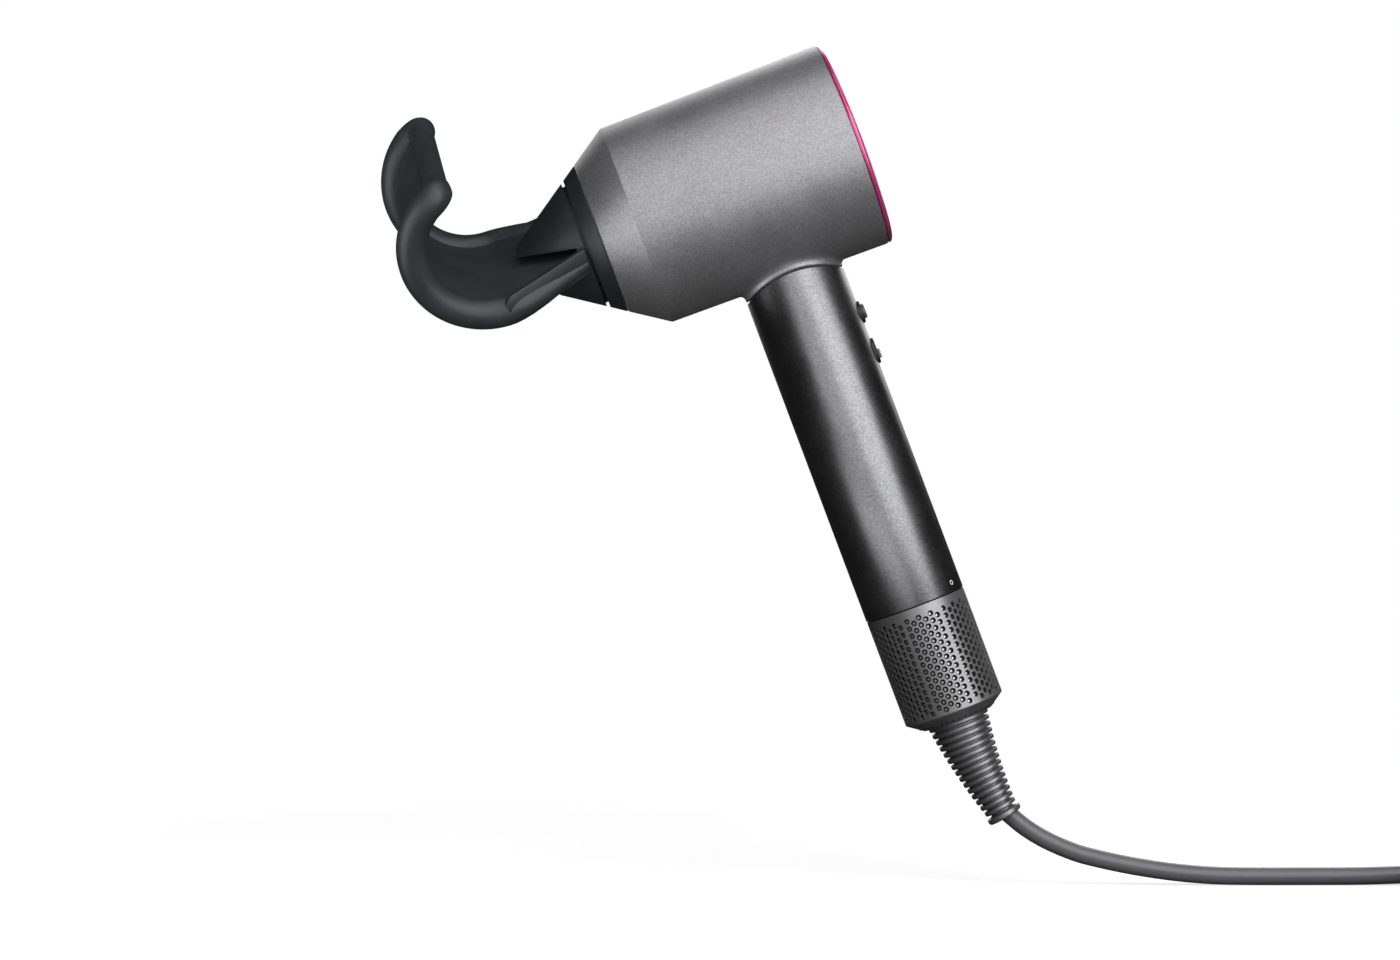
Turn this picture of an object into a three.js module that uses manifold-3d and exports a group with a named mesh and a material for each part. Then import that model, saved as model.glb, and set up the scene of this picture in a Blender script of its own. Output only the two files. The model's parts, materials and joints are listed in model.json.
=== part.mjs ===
// Hand-held hair dryer with a smoothing attachment on its nose, its mains lead and plug.
// Millimetres, +Z up. The origin is on the underside of the head, where a cradle carries it.
// The dryer hangs tilted: its handle leans back and its nose points down.
import * as THREE from "three";
import { mergeVertices } from "three/addons/utils/BufferGeometryUtils.js";
import Module from "manifold-3d";

const wasm = await Module();
wasm.setup();

// Driving dimensions
const DEGREE = Math.PI / 180;
const TILT = 20.6 * DEGREE; // nose-down lean of the whole dryer
const ROLL = 25 * DEGREE; // turn of the attachment about the head's axis
const GAP = 0.3; // air between neighbouring pieces

const HEAD = {
  axis: 37.4, // height of the head's axis over the cradle seat
  wall: 1.9,
  nose: { x: -31.5, r: 28 },
  crease: { x: -18.1, r: 37 },
  rear: { x: 64.4, r: 37.8 },
};
const BORE = { r: 17.8, wall: 1.6, front: -29 };
const DISH = { r: 28, x: 63.4, slope: Math.atan(0.62) }; // where the head's two buttons sit

const HANDLE = { x: 27.7, r: 18.5, wall: 1.9, bottom: -125.3 };
const NECK = { r: 40, seam: 0.4, duct: 16.2 };
const CAGE = { r: 18.4, wall: 0.8, top: -125.6, corner: -165.4, bottom: -169.2, hole: 12, rim: 13 };
const BOOT = { top: -169, bottom: -208.2, ribs: 15, r0: 11.2, r1: 6.1, groove: 1.2, bend: 3.8 };

const CORD = { r: 3.2, table: -208.6 };
const COIL = { x: 297, y: -51.2, turns: 5, layers: 2, middle: 38.4, lift: 1.1 };
const PLUG = { x: 316, y: -87.1, long: 34, wide: 34, high: 17, relief: 22, pinR: 2.4, pinLong: 19, pitch: 19 };

const RAIL = { r: 5.5, tipR: 4.1, arc: 26, f: 38.5, z: 26, side: 33 };
const CONE = { slope: Math.tan(34 * DEGREE), collar: 5.6, groove: 1.1, wall: 1.8, tip: 32.4 };

const FINISH = {
  greyShell: { color: 0x76757a, roughness: 0.4, metalness: 0.65 },
  handleShell: { color: 0x6d6d70, roughness: 0.38, metalness: 0.7 },
  pink: { color: 0xbe326e, roughness: 0.3, metalness: 0.35 },
  greyPlastic: { color: 0x6c6b6e, roughness: 0.5, metalness: 0.1 },
  darkPlastic: { color: 0x2a2e30, roughness: 0.45, metalness: 0.05 },
  softDark: { color: 0x303538, roughness: 0.6, metalness: 0 },
  cordGrey: { color: 0x7c7b80, roughness: 0.35, metalness: 0 },
  blackRubber: { color: 0x1b1b1c, roughness: 0.8, metalness: 0 },
  board: { color: 0x1f5a3a, roughness: 0.6, metalness: 0 },
  magnet: { color: 0x5a5a5c, roughness: 0.35, metalness: 0.9 },
  steel: { color: 0x9a9a9c, roughness: 0.3, metalness: 0.95 },
  heater: { color: 0x8a7a66, roughness: 0.55, metalness: 0.6 },
  mica: { color: 0xb8a888, roughness: 0.7, metalness: 0 },
  foam: { color: 0x3a3a3c, roughness: 0.95, metalness: 0 },
  lens: { color: 0xe8e8ea, roughness: 0.25, metalness: 0 },
};

// Shared shape helpers

function piece(name, geometry, finish) {
  const mesh = new THREE.Mesh(geometry, new THREE.MeshStandardMaterial(finish));
  mesh.name = name;
  return mesh;
}

// Profiles are lists of [radius, height], counter-clockwise, so that faces point out.
function spunAboutZ(profile, segments) {
  const points = profile.map(([r, h]) => new THREE.Vector2(r, h));
  return new THREE.LatheGeometry(points, segments).rotateX(Math.PI / 2);
}

function spunAboutX(profile, segments) {
  const points = profile.map(([r, h]) => new THREE.Vector2(r, h));
  return new THREE.LatheGeometry(points, segments).rotateZ(-Math.PI / 2);
}

function ringProfile(inner, outer, low, high) {
  return [[inner, low], [outer, low], [outer, high], [inner, high], [inner, low]];
}

function closed(profile) {
  return [...profile, profile[0]];
}

function rodAboutZ(r, low, high, segments = 16) {
  const rod = new THREE.CylinderGeometry(r, r, high - low, segments).rotateX(Math.PI / 2);
  return rod.translate(0, 0, (low + high) / 2);
}

function rodAboutX(r, low, high, segments = 16) {
  const rod = new THREE.CylinderGeometry(r, r, high - low, segments).rotateZ(-Math.PI / 2);
  return rod.translate((low + high) / 2, 0, 0);
}

function block(x0, x1, y0, y1, z0, z1) {
  const box = new THREE.BoxGeometry(x1 - x0, y1 - y0, z1 - z0);
  return box.translate((x0 + x1) / 2, (y0 + y1) / 2, (z0 + z1) / 2);
}

function tube(path, r, steps, sides) {
  const section = new THREE.Shape().absarc(0, 0, r, 0, 2 * Math.PI, false);
  const options = { extrudePath: path, steps, curveSegments: sides / 2, bevelEnabled: false };
  return new THREE.ExtrudeGeometry(section, options);
}

function solid(geometry) {
  const bare = geometry.clone();
  bare.deleteAttribute("normal");
  bare.deleteAttribute("uv");
  const merged = mergeVertices(bare, 1e-4);
  const vertProperties = new Float32Array(merged.attributes.position.array);
  const triVerts = new Uint32Array(merged.index.array);
  return new wasm.Manifold(new wasm.Mesh({ numProp: 3, vertProperties, triVerts }));
}

function geometryOf(manifold) {
  const mesh = manifold.getMesh();
  const geometry = new THREE.BufferGeometry();
  geometry.setAttribute("position", new THREE.BufferAttribute(mesh.vertProperties, 3));
  geometry.setIndex(new THREE.BufferAttribute(mesh.triVerts, 1));
  return geometry;
}

function cut(geometry, ...tools) {
  return geometryOf(tools.reduce((left, tool) => left.subtract(solid(tool)), solid(geometry)));
}

function joined(...geometries) {
  return geometryOf(geometries.map(solid).reduce((left, right) => left.add(right)));
}

function common(...geometries) {
  return geometryOf(geometries.map(solid).reduce((left, right) => left.intersect(right)));
}

// Head: shell, pink liner with its rear dish, nose parts and heater.
// Its own frame has the origin on the barrel's axis and +X to the rear.

function headShell() {
  const { nose, crease, rear, wall } = HEAD;
  const profile = [[nose.r - wall, nose.x], [nose.r, nose.x], [crease.r, crease.x], [rear.r, rear.x],
    [rear.r - wall, rear.x], [crease.r - wall, crease.x]];
  const barrel = spunAboutX(closed(profile), 40);
  const neckStub = rodAboutZ(HANDLE.r, -NECK.r - 2, -crease.r + 8, 32).translate(HANDLE.x, 0, 0);
  const neck = common(neckStub, rodAboutX(NECK.r, -10, 60, 48));
  const hollow = rodAboutX(crease.r - wall, -10, 60, 48);
  const duct = rodAboutZ(NECK.duct, -NECK.r - 5, -20, 32).translate(HANDLE.x, 0, 0);
  return cut(joined(barrel, cut(neck, hollow)), duct);
}

function linerBody() {
  const { r, wall, front } = BORE;
  const rim = HEAD.rear.x;
  const profile = [
    [r, front], [r + wall, front], [r + wall, rim - 14.4], [22.4, rim - 8.4], [30, rim - 3.9],
    [35.5, rim - 2.6], [35.5, rim + GAP], [37.4, rim + GAP], [37.7, rim + 0.9], [37.3, rim + 1.6],
    [36.2, rim + 2.1], [34, rim + 1.9], [30, rim + 0.2], [25, rim - 2.9], [20.9, rim - 8],
    [18.5, rim - 14.4],
  ];
  return spunAboutX(closed(profile), 40);
}

// Pieces let into the dish stand square to its slope, at an angle from the head's underside.
function placedInDish(geometry, angle) {
  geometry.rotateY(-DISH.slope);
  geometry.translate(DISH.x, 0, -DISH.r);
  return geometry.rotateX(angle);
}

const BUTTON_ANGLES = { speed: 35 * DEGREE, temperature: -35 * DEGREE };
const LIGHT_ANGLES = { speed: 56 * DEGREE, temperature: -56 * DEGREE };

function dishButton(angle, grow = 0) {
  const proud = grow ? 6 : 1.2;
  return placedInDish(rodAboutX(4 + grow, -5.5 - grow, proud, 20), angle);
}

function dishLight(angle, grow = 0) {
  const proud = grow ? 6 : 0.1;
  return placedInDish(block(-4.5, proud, -4 - grow, 4 + grow, -0.8 - grow, 0.8 + grow), angle);
}

function boreLiner() {
  const holes = [
    ...Object.values(BUTTON_ANGLES).map((angle) => dishButton(angle, GAP)),
    ...Object.values(LIGHT_ANGLES).map((angle) => dishLight(angle, GAP)),
  ];
  return cut(linerBody(), ...holes);
}

function controlBoard() {
  const half = 75 * DEGREE;
  const board = new THREE.Shape();
  board.absarc(0, 0, 33.5, -half, half, false);
  board.absarc(0, 0, 21.5, half, -half, true);
  const plate = new THREE.ExtrudeGeometry(board, { depth: 1.6, curveSegments: 12, bevelEnabled: false });
  return plate.rotateY(Math.PI / 2).translate(50.5, 0, 0);
}

function heaterFormer() {
  const hub = spunAboutX(ringProfile(20, 21.2, -10, 34), 32);
  const fins = [0, 60, 120].map((turn) => {
    const fin = block(-8, 30, -0.6, 0.6, -30.8, 30.8).rotateX(turn * DEGREE);
    return cut(fin, rodAboutX(20.6, -12, 36, 32));
  });
  return joined(hub, ...fins);
}

class Helix extends THREE.Curve {
  getPoint(t, target = new THREE.Vector3()) {
    const angle = 2 * Math.PI * 5 * t;
    return target.set(-6 + 33 * t, 33 * Math.cos(angle), 33 * Math.sin(angle));
  }
}

function heatShield() {
  const duct = rodAboutZ(NECK.duct, -NECK.r, -20, 32).translate(HANDLE.x, 0, 0);
  return cut(spunAboutX(ringProfile(34.2, 34.7, -12, 42), 32), duct);
}

function head() {
  const group = new THREE.Group();
  group.position.z = HEAD.axis;
  group.add(
    piece("head_shell", headShell(), FINISH.greyShell),
    piece("bore_liner", boreLiner(), FINISH.pink),
    piece("outlet_ring", spunAboutX(ringProfile(22.6, 25.6, -31.2, -26.5), 32), FINISH.darkPlastic),
    piece("seat_magnet_ring", spunAboutX(ringProfile(22.8, 25.4, -26.2, -23.2), 24), FINISH.magnet),
    piece("heater_former", heaterFormer(), FINISH.mica),
    piece("heater_coil", tube(new Helix(), 0.7, 64, 4), FINISH.heater),
    piece("heat_shield", heatShield(), FINISH.steel),
    piece("thermal_cutout", block(34.4, 41, -3, 3, 19.8, 24), FINISH.steel),
    piece("ion_emitter", block(-21, -12, -2.5, 2.5, 19.8, 23), FINISH.darkPlastic),
    piece("control_board", controlBoard(), FINISH.board),
  );
  for (const [name, angle] of Object.entries(BUTTON_ANGLES)) {
    group.add(piece(`${name}_button`, dishButton(angle), FINISH.greyPlastic));
  }
  for (const [name, angle] of Object.entries(LIGHT_ANGLES)) {
    group.add(piece(`${name}_lights`, dishLight(angle), FINISH.lens));
  }
  return group;
}

// Handle: tube, controls, motor, filter and its sliding cage.
// Its own frame has +Z up the handle, with x = y = 0 on the handle's axis.

const COLD_SHOT = { z: -20.1, r: 4.15, button: 2.7 };
const SLIDER = { z: -34.9, long: 9.6, wide: 7.4, slotLong: 6.9, slotWide: 4, thumb: 3.4 };
const MARK = { z: -122.1, r: 0.9, turn: -38 * DEGREE };

// A plate with round ends, long along Z, pushed out along +X.
function stadium(long, wide, x0, x1) {
  const r = wide / 2;
  const half = long / 2 - r;
  const outline = new THREE.Shape();
  outline.absarc(0, half, r, 0, Math.PI, false);
  outline.absarc(0, -half, r, Math.PI, 2 * Math.PI, false);
  const plate = new THREE.ExtrudeGeometry(outline, { depth: x1 - x0, curveSegments: 5, bevelEnabled: false });
  return plate.rotateX(Math.PI / 2).rotateZ(Math.PI / 2).translate(x0, 0, 0);
}

function markDisc(grow) {
  const depth = grow ? 3 : 0;
  const disc = rodAboutX(MARK.r + grow, HANDLE.r - 0.3 - grow, HANDLE.r + depth, 12);
  return disc.rotateZ(MARK.turn).translate(0, 0, MARK.z);
}

function handleTube() {
  const { r, wall, bottom } = HANDLE;
  const body = spunAboutZ(ringProfile(r - wall, r, bottom, 6), 32);
  const saddle = rodAboutX(NECK.r + NECK.seam, -30, 30, 48).translate(0, 0, HEAD.axis);
  const coldShotHole = rodAboutX(COLD_SHOT.r + GAP, 10, 22, 24).translate(0, 0, COLD_SHOT.z);
  const slot = stadium(SLIDER.long + 2 * GAP, SLIDER.wide + 2 * GAP, 10, 22).translate(0, 0, SLIDER.z);
  return cut(body, saddle, coldShotHole, slot, markDisc(GAP));
}

function coldShotBezel() {
  return spunAboutX(ringProfile(COLD_SHOT.button + GAP, COLD_SHOT.r, 15.6, 19.4), 24);
}

function sliderBezel() {
  const halfLong = SLIDER.slotLong / 2;
  const halfWide = SLIDER.slotWide / 2;
  const slot = block(14, 21, -halfWide, halfWide, -halfLong, halfLong);
  return cut(stadium(SLIDER.long, SLIDER.wide, 15.6, 19.4), slot);
}

// The thumb piece rests at the slot's lower end, where the dryer is off.
function sliderThumb() {
  const rest = -(SLIDER.slotLong - SLIDER.thumb) / 2 + GAP;
  const thumb = SLIDER.thumb / 2;
  return block(13.6, 20.4, -thumb, thumb, -thumb, thumb).translate(0, 0, rest);
}

function controls() {
  const group = new THREE.Group();
  const coldShot = new THREE.Group();
  coldShot.position.z = COLD_SHOT.z;
  coldShot.add(
    piece("cold_shot_bezel", coldShotBezel(), FINISH.darkPlastic),
    piece("cold_shot_button", rodAboutX(COLD_SHOT.button, 13.6, 20.5, 20), FINISH.greyPlastic),
  );
  const slider = new THREE.Group();
  slider.position.z = SLIDER.z;
  slider.add(
    piece("power_slider_bezel", sliderBezel(), FINISH.darkPlastic),
    piece("power_slider", sliderThumb(), FINISH.greyPlastic),
  );
  group.add(coldShot, slider, piece("switch_board", block(10.2, 11.8, -6, 6, -44, -13), FINISH.board));
  return group;
}

function impeller() {
  const blades = [...Array(9).keys()].map((i) => {
    const blade = block(3.5, 12.1, -0.5, 0.5, -3.2, 3.2).rotateX(35 * DEGREE);
    return blade.rotateZ(i * 40 * DEGREE);
  });
  return joined(spunAboutZ(ringProfile(1.8, 4.6, -4, 4), 20), ...blades).translate(0, 0, -97);
}

function vaneHub() {
  const vanes = [...Array(7).keys()].map((i) => {
    return block(5, 12.3, -0.4, 0.4, -4, 4).rotateZ((i * 360 * DEGREE) / 7);
  });
  return joined(spunAboutZ(ringProfile(4.2, 5.8, -5, 5), 20), ...vanes).translate(0, 0, -86);
}

function stator() {
  const teeth = [0, 90, 180, 270].map((turn) => {
    return block(4, 10.4, -1.8, 1.8, -4.5, 4.5).rotateZ(turn * DEGREE);
  });
  return joined(spunAboutZ(ringProfile(9.8, 12.3, -4.5, 4.5), 24), ...teeth).translate(0, 0, -74);
}

function motor() {
  const group = new THREE.Group();
  group.add(
    piece("acoustic_sleeve", spunAboutZ(ringProfile(14.2, 16.2, -61, -49), 24), FINISH.foam),
    piece("motor_board", block(-11, 11, -0.8, 0.8, -62, -50), FINISH.board),
    piece("motor_can", spunAboutZ(ringProfile(12.6, 13.4, -104, -66), 24), FINISH.steel),
    piece("motor_mount_top", spunAboutZ(ringProfile(13.7, 16.2, -74, -68), 24), FINISH.blackRubber),
    piece("motor_mount_bottom", spunAboutZ(ringProfile(13.7, 16.2, -102, -96), 24), FINISH.blackRubber),
    piece("stator", stator(), FINISH.steel),
    piece("vane_hub", vaneHub(), FINISH.steel),
    piece("bearing_top", spunAboutZ(ringProfile(1.8, 3.9, -84, -81.5), 16), FINISH.steel),
    piece("bearing_bottom", spunAboutZ(ringProfile(1.8, 3.9, -90.5, -88), 16), FINISH.steel),
    piece("motor_shaft", rodAboutZ(1.5, -101.4, -68, 12), FINISH.steel),
    piece("rotor_magnet", spunAboutZ(ringProfile(1.8, 3.6, -79, -69), 16), FINISH.magnet),
    piece("impeller", impeller(), FINISH.steel),
  );
  return group;
}

function filterFrame() {
  const windows = [0, 45, 90, 135].map((turn) => {
    return block(-20, 20, -3.5, 3.5, -160, -131).rotateZ(turn * DEGREE);
  });
  return cut(spunAboutZ(ringProfile(15.2, 16.2, -163, -109), 32), ...windows);
}

function filterCage() {
  const { r, wall, top, corner, bottom, hole, rim } = CAGE;
  const profile = [[hole, bottom], [rim, bottom], [r, corner], [r, top],
    [r - wall, top], [r - wall, corner + 0.4], [hole, bottom + 1]];
  return spunAboutZ(closed(profile), 32);
}

const SCREW = { y: 9.2, r: 1.2, headR: 2.1 };

function endCap() {
  const holes = [-SCREW.y, SCREW.y].map((y) => rodAboutZ(SCREW.r + GAP, -170, -160, 12).translate(0, y, 0));
  return cut(spunAboutZ(ringProfile(6.4, 15, -166.2, -163.4), 32), ...holes);
}

function capScrew(side) {
  const profile = [[0, -168], [SCREW.headR, -168], [SCREW.headR, -166.5], [SCREW.r, -166.5],
    [SCREW.r, -160], [0, -160]];
  return spunAboutZ(profile, 12).translate(0, side * SCREW.y, 0);
}

function filter() {
  const group = new THREE.Group();
  group.add(
    piece("filter_frame", filterFrame(), FINISH.darkPlastic),
    piece("mesh_filter", spunAboutZ(ringProfile(16.7, 17.2, -162.6, -127), 32), FINISH.steel),
    piece("filter_cage", filterCage(), FINISH.greyPlastic),
    piece("end_cap", endCap(), FINISH.darkPlastic),
    piece("cap_screw_1", capScrew(-1), FINISH.steel),
    piece("cap_screw_2", capScrew(1), FINISH.steel),
    piece("inner_lead", rodAboutZ(2.6, -159.5, -106, 10), FINISH.cordGrey),
  );
  return group;
}

// The cord's strain relief: a ribbed cone that bends away from the handle's axis.
function bootProfile() {
  const { top, bottom, ribs, r0, r1, groove } = BOOT;
  const pitch = (top - bottom - 2.4) / ribs;
  const profile = [[0, bottom], [6.5, bottom], [6.5, bottom + 2]];
  for (let i = ribs - 1; i >= 0; i -= 1) {
    const crest = r0 + ((r1 - r0) * i) / (ribs - 1);
    const high = top - i * pitch;
    profile.push([crest - groove, high - pitch], [crest, high - 0.75 * pitch], [crest, high - 0.25 * pitch]);
  }
  profile.push([6, top], [6, -160], [0, -160]);
  return profile;
}

function boot() {
  const geometry = spunAboutZ(bootProfile(), 12);
  const place = geometry.attributes.position;
  const reach = BOOT.top - BOOT.bottom;
  for (let i = 0; i < place.count; i += 1) {
    const along = Math.max(0, BOOT.top - place.getZ(i));
    const shift = BOOT.bend * (along / reach) ** 2;
    const lean = Math.atan((2 * BOOT.bend * along) / reach ** 2);
    const across = place.getX(i);
    place.setX(i, shift + across * Math.cos(lean));
    place.setZ(i, place.getZ(i) + across * Math.sin(lean));
  }
  return geometry;
}

function handle() {
  const group = new THREE.Group();
  group.position.x = HANDLE.x;
  group.add(
    piece("handle_tube", handleTube(), FINISH.handleShell),
    piece("neck_ring", spunAboutZ(ringProfile(14.4, 15.9, -11, -1), 32), FINISH.darkPlastic),
    piece("alignment_mark", markDisc(0), FINISH.lens),
    controls(),
    motor(),
    filter(),
    piece("boot", boot(), FINISH.greyPlastic),
  );
  return group;
}

// Smoothing attachment. Its own frame has the origin on the nose's edge plane, on the
// head's axis; f is the distance forward of that plane, and x = -f.

function coneRadius(f) {
  return HEAD.nose.r - CONE.slope * f;
}

function collar() {
  const profile = [[22.4, -CONE.collar], [coneRadius(CONE.collar), -CONE.collar],
    [coneRadius(GAP), -GAP], [22.4, -GAP]];
  const seat = ringProfile(22, 24.6, -2.9, 1);
  return cut(spunAboutX(closed(profile), 40), spunAboutX(seat, 40));
}

const NOZZLE_FRONT = 21; // how far forward the lower half of the nozzle reaches

function coneShell(front) {
  const back = CONE.collar + CONE.groove;
  const profile = [[coneRadius(front) - CONE.wall, -front], [coneRadius(front), -front],
    [coneRadius(back), -back], [coneRadius(back) - CONE.wall, -back]];
  return spunAboutX(closed(profile), 48);
}

// The deflector is the part of the cone over a plane that falls slightly to its tip.
function upperShell() {
  const { tip } = CONE;
  const keep = new THREE.Shape([
    new THREE.Vector2(0, 8.3), new THREE.Vector2(tip + 4, 5.9),
    new THREE.Vector2(tip + 4, 40), new THREE.Vector2(0, 40),
  ]);
  return common(coneShell(tip - 2.5), sideCut(keep, 60));
}

// A side outline in (f, z), pushed out to the given width across the attachment.
function sideCut(outline, width, segments = 12) {
  const options = { depth: width, curveSegments: segments, bevelEnabled: false };
  const plate = new THREE.ExtrudeGeometry(outline, options);
  return plate.rotateX(Math.PI / 2).rotateZ(Math.PI).translate(0, -width / 2, 0);
}

// The ramp that carries the air to the blade, wider towards the blade.
function ramp() {
  const back = CONE.collar + CONE.groove;
  const front = RAIL.f - GAP;
  const plan = new THREE.Shape([
    new THREE.Vector2(-back, -20.7), new THREE.Vector2(-back, 20.7),
    new THREE.Vector2(-front, 30.4), new THREE.Vector2(-front, -30.4),
  ]);
  const plate = new THREE.ExtrudeGeometry(plan, { depth: 3, bevelEnabled: false });
  const place = plate.attributes.position;
  for (let i = 0; i < place.count; i += 1) {
    const f = -place.getX(i);
    place.setZ(i, place.getZ(i) - 0.5 + (front - f) / (front - back));
  }
  return plate;
}

function lowerShell() {
  const keep = block(-60, 0, -40, 40, -40, 2);
  const shell = joined(common(coneShell(NOZZLE_FRONT), keep), ramp());
  return cut(shell, sideArm(-1, GAP), sideArm(1, GAP));
}

// The blade: a curved plate between the rails, a quarter turn below to past upright.
function blade() {
  const from = -Math.PI / 2;
  const to = 59 * DEGREE;
  const outline = new THREE.Shape();
  outline.absarc(RAIL.f, RAIL.z, RAIL.arc + 0.6, from, to, false);
  outline.absarc(RAIL.f, RAIL.z, RAIL.arc - 2.6, to, from, true);
  return sideCut(outline, 2 * (RAIL.side - RAIL.r - GAP), 14);
}

// One side rail follows the blade's arc and flares a little towards the tip.
class RailCurve extends THREE.Curve {
  constructor(side) {
    super();
    this.side = side;
  }

  getPoint(t, target = new THREE.Vector3()) {
    const angle = -Math.PI / 2 + 160 * DEGREE * t;
    const f = RAIL.f + RAIL.arc * Math.cos(angle);
    const z = RAIL.z + RAIL.arc * Math.sin(angle);
    return target.set(-f, this.side * (RAIL.side + 3.5 * t * t), z);
  }
}

function rimRail() {
  const near = new RailCurve(-1);
  const far = new RailCurve(1);
  const elbows = [near, far].map((rail) => {
    const end = rail.getPoint(1);
    return new THREE.SphereGeometry(RAIL.r, 12, 8).translate(end.x, end.y, end.z);
  });
  const tipBar = tube(new THREE.LineCurve3(near.getPoint(1), far.getPoint(1)), RAIL.tipR, 1, 12);
  return joined(tube(near, RAIL.r, 18, 10), tube(far, RAIL.r, 18, 10), tipBar, ...elbows);
}

// A flat strap from the nozzle's ring to the rail, with a round end.
function sideArm(side, grow = 0) {
  const long = 32 + grow;
  const end = 3.7 + grow;
  const strap = new THREE.Shape();
  strap.moveTo(-4 * grow, -1.7 - grow);
  strap.lineTo(long - end, -3.3 - grow);
  strap.absarc(long - end, 0.4, end, -Math.PI / 2, Math.PI / 2, false);
  strap.lineTo(-4 * grow, 7.8 + grow);
  const plate = sideCut(strap, 2.4 + 2 * grow, 6);
  return plate.rotateZ(-side * 17.4 * DEGREE).translate(-7.3, side * 22.6, 0);
}

function attachment() {
  const group = new THREE.Group();
  group.position.set(HEAD.nose.x, 0, HEAD.axis);
  group.rotation.x = ROLL;
  const magnetRing = spunAboutX(ringProfile(22.5, 24.3, -2.6, -GAP), 32);
  group.add(
    piece("attachment_collar", collar(), FINISH.darkPlastic),
    piece("attachment_magnet_ring", magnetRing, FINISH.magnet),
    piece("nozzle_upper_shell", upperShell(), FINISH.darkPlastic),
    piece("nozzle_lower_shell", lowerShell(), FINISH.darkPlastic),
    piece("smoothing_blade", blade(), FINISH.softDark),
    piece("rim_rail", rimRail(), FINISH.softDark),
    piece("side_arm_near", sideArm(-1), FINISH.darkPlastic),
    piece("side_arm_far", sideArm(1), FINISH.darkPlastic),
  );
  return group;
}

// Mains lead: out of the boot, along the table, into a flat round coil, and to its plug.

const LEAD_ROUTE = [
  [105.1, 0, -184.1], [110.4, 0, -188.3], [117.7, 0, -192.6], [127.3, 0, -196.7], [136.4, 0, -199.2],
  [149, 0, -201.8], [163, 0, -203.9], [177, 0, -205.1], [191, 0, -205.4], [211, 0, -205.4],
  [231, 0, -205.3], [251, 0, -204.7], [269.8, 0, -204.3],
];
const TAIL_ROUTE = [
  [337.5, -74.6, -191.2], [334.3, -77.3, -190.4], [328.9, -82.4, -188.9], [323.6, -85.6, -187.2],
  [319.5, -86.8, -186.3], [316.5, -87.1, -185.9],
];

function route(points) {
  return new THREE.CatmullRomCurve3(points.map(([x, y, z]) => new THREE.Vector3(x, y, z)));
}

function coilTop() {
  return CORD.table + COIL.lift + 2 * CORD.r * COIL.layers;
}

function coilRing() {
  const half = COIL.turns * CORD.r;
  const low = CORD.table + COIL.lift;
  return spunAboutZ(ringProfile(COIL.middle - half, COIL.middle + half, low, coilTop()), 36);
}

// The strap stands clear of the ring's curved inner wall.
function coilTie() {
  const strap = 0.8;
  const near = COIL.middle - COIL.turns * CORD.r - 1.2;
  const far = COIL.middle + COIL.turns * CORD.r + GAP;
  const low = CORD.table + COIL.lift - GAP;
  const high = coilTop() + GAP;
  const outside = block(near - strap, far + strap, -6, 6, low - strap, high + strap);
  return cut(outside, block(near, far, -8, 8, low, high)).rotateZ(50 * DEGREE);
}

function plugBody() {
  const { long, wide, high, relief } = PLUG;
  const outline = new THREE.Shape();
  outline.moveTo(relief - 4, -7);
  outline.quadraticCurveTo(relief + 8, -8, relief + 14, -wide / 2);
  outline.lineTo(relief + long, -wide / 2);
  outline.lineTo(relief + long, wide / 2);
  outline.lineTo(relief + 14, wide / 2);
  outline.quadraticCurveTo(relief + 8, 8, relief - 4, 7);
  const options = { depth: high - 3, curveSegments: 5, bevelSegments: 2, bevelSize: 1.5, bevelThickness: 1.5 };
  const grip = new THREE.ExtrudeGeometry(outline, options).translate(0, 0, -(high - 3) / 2);
  const cone = spunAboutX([[0, 0], [4.2, 0], [6.6, relief + 2], [0, relief + 2]], 16);
  const boss = block(relief + long, relief + long + 2.5, -4, 4, -6, 6);
  return joined(grip, cone, boss);
}

// The plug lies flat on top of the coil.
function plug() {
  const group = new THREE.Group();
  group.position.set(PLUG.x, PLUG.y, coilTop() + GAP + PLUG.high / 2);
  group.rotation.z = Math.PI;
  const face = PLUG.relief + PLUG.long + 1.5 + GAP;
  group.add(piece("plug_body", plugBody(), FINISH.cordGrey));
  [-1, 1].forEach((side, i) => {
    const pin = rodAboutX(PLUG.pinR, face, face + PLUG.pinLong, 12);
    group.add(piece(`plug_pin_${i + 1}`, pin.translate(0, (side * PLUG.pitch) / 2, 0), FINISH.steel));
  });
  return group;
}

function mainsLead() {
  const group = new THREE.Group();
  const coil = new THREE.Group();
  coil.position.set(COIL.x, COIL.y, 0);
  coil.add(
    piece("cord_coil", coilRing(), FINISH.cordGrey),
    piece("coil_tie", coilTie(), FINISH.blackRubber),
  );
  group.add(
    piece("cord_lead", tube(route(LEAD_ROUTE), CORD.r, 26, 10), FINISH.cordGrey),
    piece("cord_tail", tube(route(TAIL_ROUTE), CORD.r, 8, 10), FINISH.cordGrey),
    coil,
    plug(),
  );
  return group;
}

const dryer = new THREE.Group();
dryer.rotation.y = -TILT;
dryer.add(head(), handle(), attachment());

const group = new THREE.Group();
group.add(dryer, mainsLead());

export default group;
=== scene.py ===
import json
import math

import bmesh
import bpy
from mathutils import Matrix, Vector

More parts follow.
